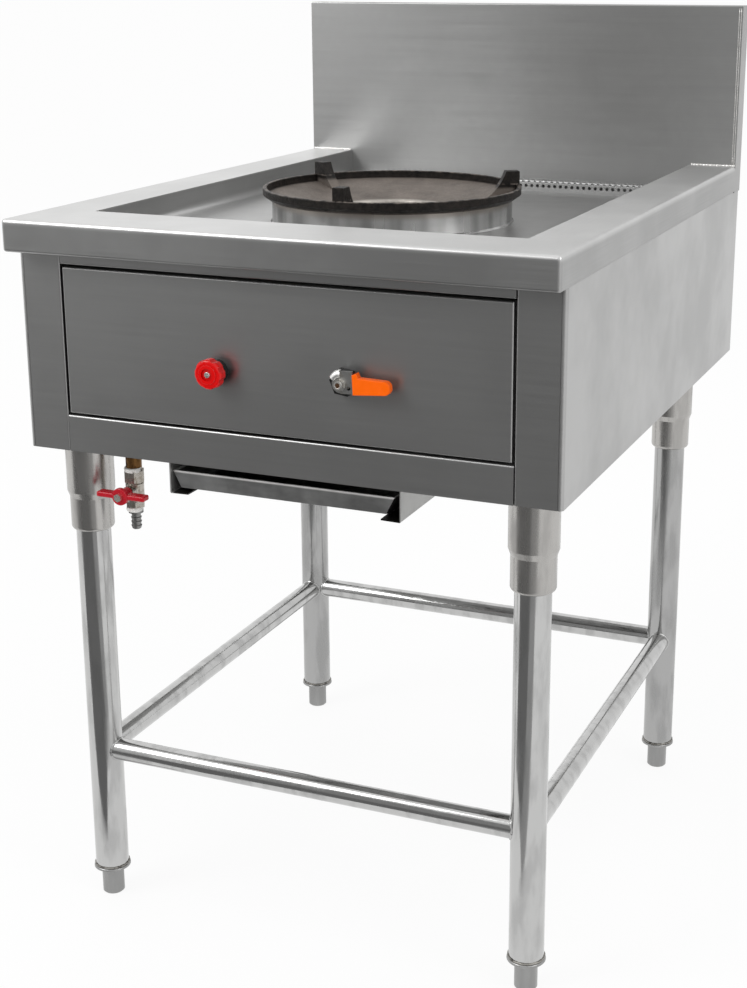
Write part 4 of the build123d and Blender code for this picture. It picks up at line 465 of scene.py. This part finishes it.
def wrapped_tape(name):
    """White thread-seal tape in thin turned layers."""
    paint = Paint(name)
    paint.set(Specular_IOR_Level=0.4)
    shaded_fold = (0.62, 0.61, 0.58)
    white = (0.86, 0.86, 0.84)
    layers = paint.noise((60, 60, 1500), detail=3)
    paint.colour(paint.blend(layers, shaded_fold, white))
    paint.roughness(paint.remap(layers, NOISE_SPAN, (0.4, 0.6)))
    paint.bump(layers, height=0.0002)
    return paint.material


def sheet_slots():
    """Brushed sheet steel, each sheet in its own share of the plain steel's colour as painted light and
    shade.
    """
    sheets = {
        # Painted light and shade: the splashback and front are painted darkest, the strainer lightest
        "deck_steel": dict(share=0.96, rough=0.35, along="y"),
        "splash_steel": dict(
            share=0.68, rough=0.33, along="x", streak=0.02, cloud=0.1, stretch=0.8, lines=4e-6
        ),
        "front_steel": dict(share=0.69, rough=0.33, along="x", streak=0.02, cloud=0.08),
        "side_steel": dict(share=0.74, rough=0.36, along="y", streak=0.02, cloud=0.09),
        "inner_steel": dict(share=0.8, rough=0.38, along="x"),
        "strainer_steel": dict(share=1.05, rough=0.28, along="x"),
    }
    return {name: brushed_steel(name, **sheet) for name, sheet in sheets.items()}


def formed_steel_slots():
    """Steel with a finish of its own: rim, tubes, turned feet, collar, tray and rails."""
    dark_patches = (0.012, 0.011, 0.010)
    return {
        # Painted light: the rim's steel is painted lighter than the deck's
        "rim_steel": rim_steel("rim_steel", shade(STAINLESS, 1.1), rough=0.36),
        "leg_steel": polished_tube("leg_steel", shade(STAINLESS, 0.90), rough=0.15),
        "socket_steel": polished_tube("socket_steel", (0.44, 0.43, 0.415), rough=0.27),
        "foot_steel": turned_steel("foot_steel", shade(STAINLESS, 0.66), rough=0.35),
        "collar_steel": banded_collar_steel("collar_steel", shade(STAINLESS, 0.82), rough=0.22),
        "tray_steel": tray_steel("tray_steel", shade(STAINLESS, 0.66), rough=0.34),
        "rail_steel": dark_inside_steel("rail_steel", outside=(0.40, 0.40, 0.39), inside=dark_patches),
    }


def iron_slots():
    """Cast iron: the wok ring with a worn dish, and the dark burner."""
    return {
        "ring_iron": cast_iron("ring_iron", dark=(0.010, 0.0080, 0.0068), worn=(0.195, 0.168, 0.147)),
        "burner_iron": cast_iron("burner_iron", dark=(0.022, 0.019, 0.017), worn=(0.030, 0.026, 0.022)),
    }


def moulded_slots():
    """Plastic, dipped and enamelled pieces."""
    return {
        "knob_red": moulded("knob_red", (0.58, 0.0, 0.0), rough=0.10, shine=0.4, pits=0.00012),
        "collar_black": moulded("collar_black", (0.006, 0.006, 0.006), rough=0.35, shine=0.2),
        "sleeve_orange": moulded("sleeve_orange", (0.84, 0.115, 0.0), rough=0.22, shine=0.14, pits=0.00002),
        "handle_red": moulded("handle_red", (0.40, 0.0, 0.010), rough=0.28, shine=0.4),
    }


def small_metal_slots():
    """Plated or bare metal of the valves, pipes and screws: colour, roughness, stain and its amount."""
    finishes = {
        "lever_zinc": ((0.40, 0.40, 0.39), 0.34, (0.20, 0.18, 0.15), 0.5),
        "pipe_steel": ((0.34, 0.34, 0.34), 0.45, (0.20, 0.17, 0.14), 0.5),
        "valve_nickel": ((0.45, 0.42, 0.38), 0.26, (0.20, 0.16, 0.11), 0.7),
        "old_brass": ((0.20, 0.105, 0.038), 0.40, (0.07, 0.032, 0.013), 0.9),
        "bright_brass": ((0.68, 0.48, 0.20), 0.28, (0.36, 0.22, 0.08), 0.5),
        "barb_grey": ((0.27, 0.27, 0.265), 0.42, (0.13, 0.125, 0.12), 0.5),
        "screw_steel": ((0.58, 0.57, 0.55), 0.25, (0.25, 0.21, 0.16), 0.5),
    }
    return {name: plated(name, *finish) for name, finish in finishes.items()}


def slot_materials():
    """One material for each slot of the record."""
    return {
        **sheet_slots(),
        **formed_steel_slots(),
        **iron_slots(),
        **moulded_slots(),
        **small_metal_slots(),
    }


def single_materials():
    """Finishes of nodes that differ from the rest of their slot."""
    # Painted shade: the rear legs are painted darker than the front ones
    shaded_rear_tube = polished_tube("shaded_rear_leg_steel", shade(STAINLESS, 0.70), rough=0.18)
    stained = 0.4
    dull_grey = (0.26, 0.23, 0.18)
    straw = (0.30, 0.23, 0.15)
    brown = (0.20, 0.14, 0.12)
    return {
        "leg_tube_rear_left": shaded_rear_tube,
        "leg_tube_rear_right": shaded_rear_tube,
        "gas_lever_nut": plated("lever_nut_zinc", (0.70, 0.69, 0.66), 0.20, dull_grey, stained),
        "gas_valve_ball": worn_stem("gas_stem", middle_of("gas_lever_nut")),
        "drain_handle_nut": plated("handle_nut_zinc", (0.86, 0.83, 0.76), 0.30, straw, stained),
        "pilot_knob_screw": plated("knob_screw_zinc", (0.80, 0.78, 0.75), 0.25, brown, stained),
    }


def dress_cad_nodes(materials):
    """Gives each CAD node the material of its slot, or its own."""
    singles = single_materials()
    for entry in frame["record"]["subparts"]:
        mesh = frame["nodes"][entry["node"]].data
        mesh.materials.clear()
        mesh.materials.append(singles.get(entry["node"], materials[entry["material_slot"]]))


# ---------------------------------------------------------------------------------------------------
# Small visual pieces
# ---------------------------------------------------------------------------------------------------


def turn(step, steps):
    """Angle of one step on a full turn."""
    return 2 * math.pi * step / steps


def put_in_scene(name, data):
    """Makes an object of its data and links it to the scene."""
    made = bpy.data.objects.new(name, data)
    bpy.context.scene.collection.objects.link(made)
    return made


def mesh_from(name, shape):
    """Turns a bmesh into a mesh and frees it."""
    mesh = bpy.data.meshes.new(name)
    shape.to_mesh(mesh)
    shape.free()
    return mesh


def new_piece(name, build, material, body="range_frame", smooth=True):
    """Makes an object from a bmesh that the build function fills."""
    shape = bmesh.new()
    build(shape)
    bmesh.ops.recalc_face_normals(shape, faces=shape.faces)
    mesh = mesh_from(name, shape)
    for face in mesh.polygons:
        face.use_smooth = smooth
    mesh.materials.append(material)
    piece = put_in_scene(name, mesh)
    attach(piece, body)


def add_skin(shape, rings, closed=False):
    """Faces between rings of equal count; the first and last ring are capped or, if closed, joined."""
    following_rings = rings[1:] + rings[:1] if closed else rings[1:]
    for ring, following in zip(rings, following_rings):
        for index in range(len(ring)):
            across = (index + 1) % len(ring)
            shape.faces.new((ring[index], ring[across], following[across], following[index]))
    if not closed:
        shape.faces.new(rings[0])
        shape.faces.new(rings[-1])


def add_bead(shape, points, radius, closed, sides=8):
    """Rounded bead along a line of points, with small ripples like a weld."""
    ripple_step = 2.1
    ripple_share = 0.16
    rough_share = 0.22
    rough_scale = 300
    upright = 0.99
    rings = []
    count = len(points)
    for index, point in enumerate(points):
        before = points[index - 1] if closed or index else point
        after = points[(index + 1) % count] if closed or index < count - 1 else point
        along = (after - before).normalized()
        first = along.orthogonal() if abs(along.z) > upright else along.cross(Vector((0, 0, 1))).normalized()
        second = along.cross(first)
        ripple = ripple_share * math.sin(index * ripple_step) + rough_share * noise.noise(point * rough_scale)
        ring = []
        for side in range(sides):
            angle = turn(side, sides)
            outward = math.cos(angle) * first + math.sin(angle) * second
            ring.append(shape.verts.new(point + radius * (1 + ripple) * outward))
        rings.append(ring)
    add_skin(shape, rings, closed)


def cope_points(leg, direction, tube_radius, leg_radius, height, steps=56):
    """Closed line where a level tube meets an upright leg."""
    across = Vector((-direction.y, direction.x, 0))
    points = []
    for step in range(steps):
        angle = turn(step, steps)
        sideways = tube_radius * math.cos(angle)
        reach = math.sqrt(leg_radius**2 - sideways**2)
        point = Vector((leg.x, leg.y, height)) + direction * reach + across * sideways
        point.z += tube_radius * math.sin(angle)
        points.append(point)
    return points


def ring_points(centre, radius, height, steps=48):
    """Closed level circle of points."""
    points = []
    for step in range(steps):
        angle = turn(step, steps)
        x = centre.x + radius * math.cos(angle)
        y = centre.y + radius * math.sin(angle)
        points.append(Vector((x, y, height)))
    return points


def line_points(start, end, steps):
    """Evenly spaced points on a straight line."""
    return [start.lerp(end, step / steps) for step in range(steps + 1)]


CORNERS = ("front_left", "front_right", "rear_left", "rear_right")


def add_stretcher_welds(material):
    """Weld beads round both ends of the four stretchers."""
    bead_radius = 0.0013
    corners = {name: middle_of("leg_tube_" + name) for name in CORNERS}
    low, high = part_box("leg_tube_front_left")
    leg_radius = (high.x - low.x) / 2
    low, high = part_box("stretcher_front")
    tube_radius = (high.z - low.z) / 2
    height = (high.z + low.z) / 2
    runs = (
        ("front_left", "front_right"),
        ("rear_left", "rear_right"),
        ("front_left", "rear_left"),
        ("front_right", "rear_right"),
    )

    def build(shape):
        for start, end in runs:
            for leg, other in ((start, end), (end, start)):
                direction = corners[other] - corners[leg]
                direction.z = 0
                direction.normalize()
                points = cope_points(corners[leg], direction, tube_radius, leg_radius, height)
                add_bead(shape, points, bead_radius, closed=True)

    new_piece("stretcher_welds", build, material)


def add_splash_welds(material):
    """Weld lines where the side rims meet the splashback."""
    bead_radius = 0.0016
    proud = 0.0004  # bead's middle in front of the splashback and above the rim
    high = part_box("hob_rim")[1]
    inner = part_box("hob_deck")[1].x
    outer = high.x - 0.001

    def build(shape):
        for side in (-1, 1):
            start = Vector((side * inner, high.y - proud, high.z + proud))
            end = Vector((side * outer, high.y - proud, high.z + proud))
            add_bead(shape, line_points(start, end, 40), bead_radius, closed=False)

    new_piece("splash_welds", build, material)


def add_foot_welds(material):
    """Rough weld beads between the leg tubes and their end rings."""
    bead_radius = 0.0011
    low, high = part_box("leg_tube_front_left")
    circle_radius = (high.x - low.x) / 2 + 0.0004
    height = low.z + 0.0010

    def build(shape):
        for corner in CORNERS:
            centre = middle_of("leg_tube_" + corner)
            add_bead(shape, ring_points(centre, circle_radius, height), bead_radius, closed=True)

    new_piece("foot_welds", build, material)


def add_splash_seam(material):
    """Pair of fine lines beside the right-hand edge of the splashback."""
    bead_radius = 0.00035
    insets = (0.0022, 0.0046)
    low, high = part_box("backsplash")
    face = low.y + 0.0001
    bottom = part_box("hob_rim")[1].z + 0.002
    top = high.z - 0.003

    def build(shape):
        for inset in insets:
            start = Vector((high.x - inset, face, bottom))
            end = Vector((high.x - inset, face, top))
            add_bead(shape, line_points(start, end, 30), bead_radius, closed=False, sides=6)

    new_piece("splash_seam", build, material)


def add_gland_nut_and_shade(material):
    """Dark nut round the gas valve's gland, between the panel and the lever; it also stands in for the shade
    behind the lever.
    """
    radius = 0.0143
    chamfer = 0.0008
    chamfer_radius = 0.0132
    first_corner = math.radians(52)
    sides = 6
    centre = middle_of("gas_lever_nut")
    panel_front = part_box("control_panel")[0].y
    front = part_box("gas_valve_body")[0].y + 0.002
    profile = ((front, chamfer_radius), (front + chamfer, radius), (panel_front, radius))

    def build(shape):
        rings = []
        for y, corner_radius in profile:
            ring = []
            for side in range(sides):
                angle = first_corner + turn(side, sides)
                x = centre.x + corner_radius * math.cos(angle)
                z = centre.z + corner_radius * math.sin(angle)
                ring.append(shape.verts.new(Vector((x, y, z))))
            rings.append(ring)
        add_skin(shape, rings)

    new_piece("gas_gland_nut_and_shade", build, material, smooth=False)


def add_stop_wing(material):
    """Polished stop wing that curls back from the plate's upper left."""
    start_degrees = 92
    sweep_degrees = 60
    steps = 12
    thickness = 0.0008
    # Distance from the stem and distance behind the plate's front, from the inner edge outwards
    face = ((0.0072, -0.0010), (0.0096, -0.0010), (0.0120, -0.0005), (0.0135, 0.0012), (0.0141, 0.0044))
    outline = [*face, *((radius - thickness, back + thickness) for radius, back in reversed(face))]
    centre = middle_of("gas_lever_nut")
    plate_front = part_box("gas_lever_nut")[1].y
    origin = Vector((centre.x, plate_front, centre.z))

    def build(shape):
        rings = []
        for step in range(steps + 1):
            angle = math.radians(start_degrees + sweep_degrees * step / steps)
            ring = []
            for radius, back in outline:
                place = Vector((math.cos(angle) * radius, back, math.sin(angle) * radius))
                ring.append(shape.verts.new(origin + place))
            rings.append(ring)
        add_skin(shape, rings)

    new_piece("lever_stop_wing", build, material, body="gas_lever_body")


def add_tape(name, node, radius, low_z, high_z, material):
    """Wound tape on a pipe: a short sleeve with an uneven, slightly frayed outline."""
    thickness = 0.0007
    end_taper = 0.35
    fray_scale = 700
    edge_wave = 0.0004
    levels = 9
    sides = 40
    centre = middle_of(node)

    def build(shape):
        rings = []
        for level in range(levels):
            share = level / (levels - 1)
            z = low_z + (high_z - low_z) * share
            bulge = 1 - end_taper * abs(2 * share - 1) ** 4
            ring = []
            for side in range(sides):
                angle = turn(side, sides)
                outward = Vector((math.cos(angle), math.sin(angle), 0))
                point = Vector((centre.x, centre.y, z)) + outward * radius
                point += outward * thickness * bulge * (1 + noise.noise(point * fray_scale))
                point.z += edge_wave * math.sin(2 * angle + level)
                ring.append(shape.verts.new(point))
            rings.append(ring)
        add_skin(shape, rings)

    new_piece(name, build, material)


def add_small_pieces(materials):
    """Everything that is only in the visual model."""
    bright = (0.95, 0.95, 0.93)
    weld = plated("weld_bead", (0.78, 0.77, 0.75), 0.26, stain=(0.42, 0.39, 0.35), stain_amount=0.4)
    dark_weld = plated("dark_weld", (0.30, 0.29, 0.27), 0.38, stain=(0.06, 0.055, 0.05), stain_amount=0.9)
    wing_zinc = plated("polished_zinc", bright, 0.30, stain=(0.7, 0.68, 0.64), stain_amount=0.2)
    add_stretcher_welds(materials["leg_steel"])
    add_splash_welds(weld)
    add_splash_seam(weld)
    add_foot_welds(dark_weld)
    add_gland_nut_and_shade(materials["collar_black"])
    add_stop_wing(wing_zinc)
    tape = wrapped_tape("seal_tape")
    low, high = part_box("drain_valve_body")
    upper = {"radius": 0.0086, "low_z": high.z - 0.0008, "high_z": high.z + 0.0035}
    lower = {"radius": 0.0080, "low_z": low.z - 0.0042, "high_z": low.z + 0.0004}
    add_tape("drain_tape_upper", "drain_valve_body", material=tape, **upper)
    add_tape("drain_tape_lower", "drain_valve_body", material=tape, **lower)


# ---------------------------------------------------------------------------------------------------
# Studio and camera
# ---------------------------------------------------------------------------------------------------


def bare_material(name):
    """Material without a shader, the calls that fill it, and the socket of its surface."""
    material = bpy.data.materials.new(name)
    material.use_nodes = True
    nodes = Nodes(material.node_tree)
    nodes.tree.nodes.remove(nodes.tree.nodes["Principled BSDF"])
    return material, nodes, nodes.tree.nodes["Material Output"].inputs["Surface"]


def ray_is(nodes, *kinds):
    """1 for a ray of one of the kinds, else 0."""
    path = nodes.node("ShaderNodeLightPath")
    found = path.outputs[kinds[0]]
    for kind in kinds[1:]:
        found = nodes.maths("MAXIMUM", found, path.outputs[kind])
    return found


def add_floor():
    """Pale floor that shows white to the camera and in metal, and keeps the shadow."""
    half = 60
    pale = (0.80, 0.80, 0.80, 1)
    white_share = 0.9
    mesh = bpy.data.meshes.new("floor")
    corners = [(-half, -half, 0), (half, -half, 0), (half, half, 0), (-half, half, 0)]
    mesh.from_pydata(corners, [], [(0, 1, 2, 3)])
    floor = put_in_scene("floor", mesh)
    material, nodes, surface = bare_material("floor")
    matt = nodes.node("ShaderNodeBsdfDiffuse")
    matt.inputs["Color"].default_value = pale
    white = nodes.node("ShaderNodeEmission")
    seen = ray_is(nodes, "Is Camera Ray", "Is Glossy Ray", "Is Transmission Ray")
    mix = nodes.node("ShaderNodeMixShader")
    nodes.join(nodes.maths("MULTIPLY", seen, white_share), mix.inputs["Fac"])
    nodes.join(matt.outputs[0], mix.inputs[1])
    nodes.join(white.outputs[0], mix.inputs[2])
    nodes.join(mix.outputs[0], surface)
    mesh.materials.append(material)


def add_flag(name, start, end, edges, level):
    """Dark card in front that only shows in metal; its angles run from -Y towards +X."""
    steps = 8
    middle = Vector((0, -0.35, 0))
    shape = bmesh.new()
    rows = []
    for radius, height in edges:
        row = []
        for step in range(steps + 1):
            angle = math.radians(start + (end - start) * step / steps)
            place = middle + Vector((radius * math.sin(angle), -radius * math.cos(angle), height))
            row.append(shape.verts.new(place))
        rows.append(row)
    for step in range(steps):
        shape.faces.new((rows[0][step], rows[1][step], rows[1][step + 1], rows[0][step + 1]))
    mesh = mesh_from(name, shape)
    flag = put_in_scene(name, mesh)
    material, nodes, surface = bare_material(name)
    glow = nodes.node("ShaderNodeEmission")
    glow.inputs["Color"].default_value = (level, level, level, 1)
    nodes.join(glow.outputs[0], surface)
    mesh.materials.append(material)
    flag.visible_camera = False
    flag.visible_diffuse = False
    flag.visible_shadow = False
    flag.visible_transmission = False


def set_world():
    """Soft room light: white to the camera, darker towards the front, brightest behind on the left."""
    world = bpy.data.worlds.new("studio")
    bpy.context.scene.world = world
    world.use_nodes = True
    nodes = Nodes(world.node_tree)
    background = nodes.tree.nodes["Background"]
    coordinates = nodes.node("ShaderNodeTexCoord")
    split = nodes.node("ShaderNodeSeparateXYZ")
    nodes.join(coordinates.outputs["Generated"], split.inputs[0])
    x, y, z = split.outputs
    front_to_back = nodes.remap(y, (-0.85, 0.35), (0.85, 0.95), smooth=True)
    to_left = nodes.remap(x, (0.25, -0.75), (0.0, 0.10), smooth=True)
    behind = nodes.remap(y, (0.1, 0.6), (0.0, 1.0), smooth=True)
    behind_left = nodes.maths("MULTIPLY", to_left, behind)
    overhead = nodes.remap(z, (0.35, 0.95), (0.0, 0.15), smooth=True)
    room = nodes.maths("ADD", nodes.maths("ADD", front_to_back, behind_left), overhead)
    seen = ray_is(nodes, "Is Camera Ray", "Is Transmission Ray")
    nodes.join(nodes.mix_numbers(seen, room, 1.0), background.inputs["Strength"])
    background.inputs["Color"].default_value = (1, 1, 1, 1)


def add_lamp(name, place, target, size, power):
    """Soft rectangular lamp that points at a target."""
    light = bpy.data.lights.new(name, "AREA")
    light.shape = "RECTANGLE"
    light.size = size[0]
    light.size_y = size[1]
    light.energy = power
    lamp = put_in_scene(name, light)
    lamp.location = place
    lamp.rotation_euler = (Vector(target) - Vector(place)).to_track_quat("-Z", "Y").to_euler()
    lamp.visible_camera = False


def add_camera():
    """Camera fitted to the photograph's edges; pixels are in the photograph's frame, angles in radians."""
    photo_width = 747
    photo_height = 988
    focal_pixels = 1662.5
    centre = (423.2, 435.3)
    place = (0.7392, -1.8055, 1.0503)
    yaw = 0.3868
    pitch = 0.2762
    camera = bpy.data.cameras.new("camera")
    camera.sensor_width = 36
    camera.lens = focal_pixels / photo_height * camera.sensor_width
    camera.shift_x = (photo_width / 2 - centre[0]) / photo_height
    camera.shift_y = (centre[1] - photo_height / 2) / photo_height
    camera.clip_start = 0.05
    camera.clip_end = 200
    eye = put_in_scene("camera", camera)
    eye.location = place
    eye.rotation_euler = (math.pi / 2 - pitch, 0, yaw)
    bpy.context.scene.camera = eye


def add_studio():
    """Floor, dark cards, room light, lamps and camera."""
    # The two edges of a card, each as its distance from the middle and its height
    on_floor = ((0.26, 0.01), (12.0, 0.01))
    standing = ((5.0, 0.02), (5.0, 3.5))
    add_floor()
    add_flag("front_flag", start=-62, end=14, edges=on_floor, level=0.19)
    add_flag("side_flag", start=14, end=44, edges=on_floor, level=0.40)
    add_flag("standing_flag", start=-28.5, end=-9, edges=standing, level=0.30)
    set_world()
    add_lamp("key", place=(-2.2, -2.6, 3.2), target=(0, 0, 0.6), size=(1.8, 1.8), power=55)
    add_lamp("fill", place=(2.8, -1.0, 2.6), target=(0, 0, 0.5), size=(1.6, 1.6), power=25)
    add_camera()
    bpy.context.scene.view_settings.view_transform = "Standard"


slots = slot_materials()
dress_cad_nodes(slots)
add_small_pieces(slots)
add_studio()
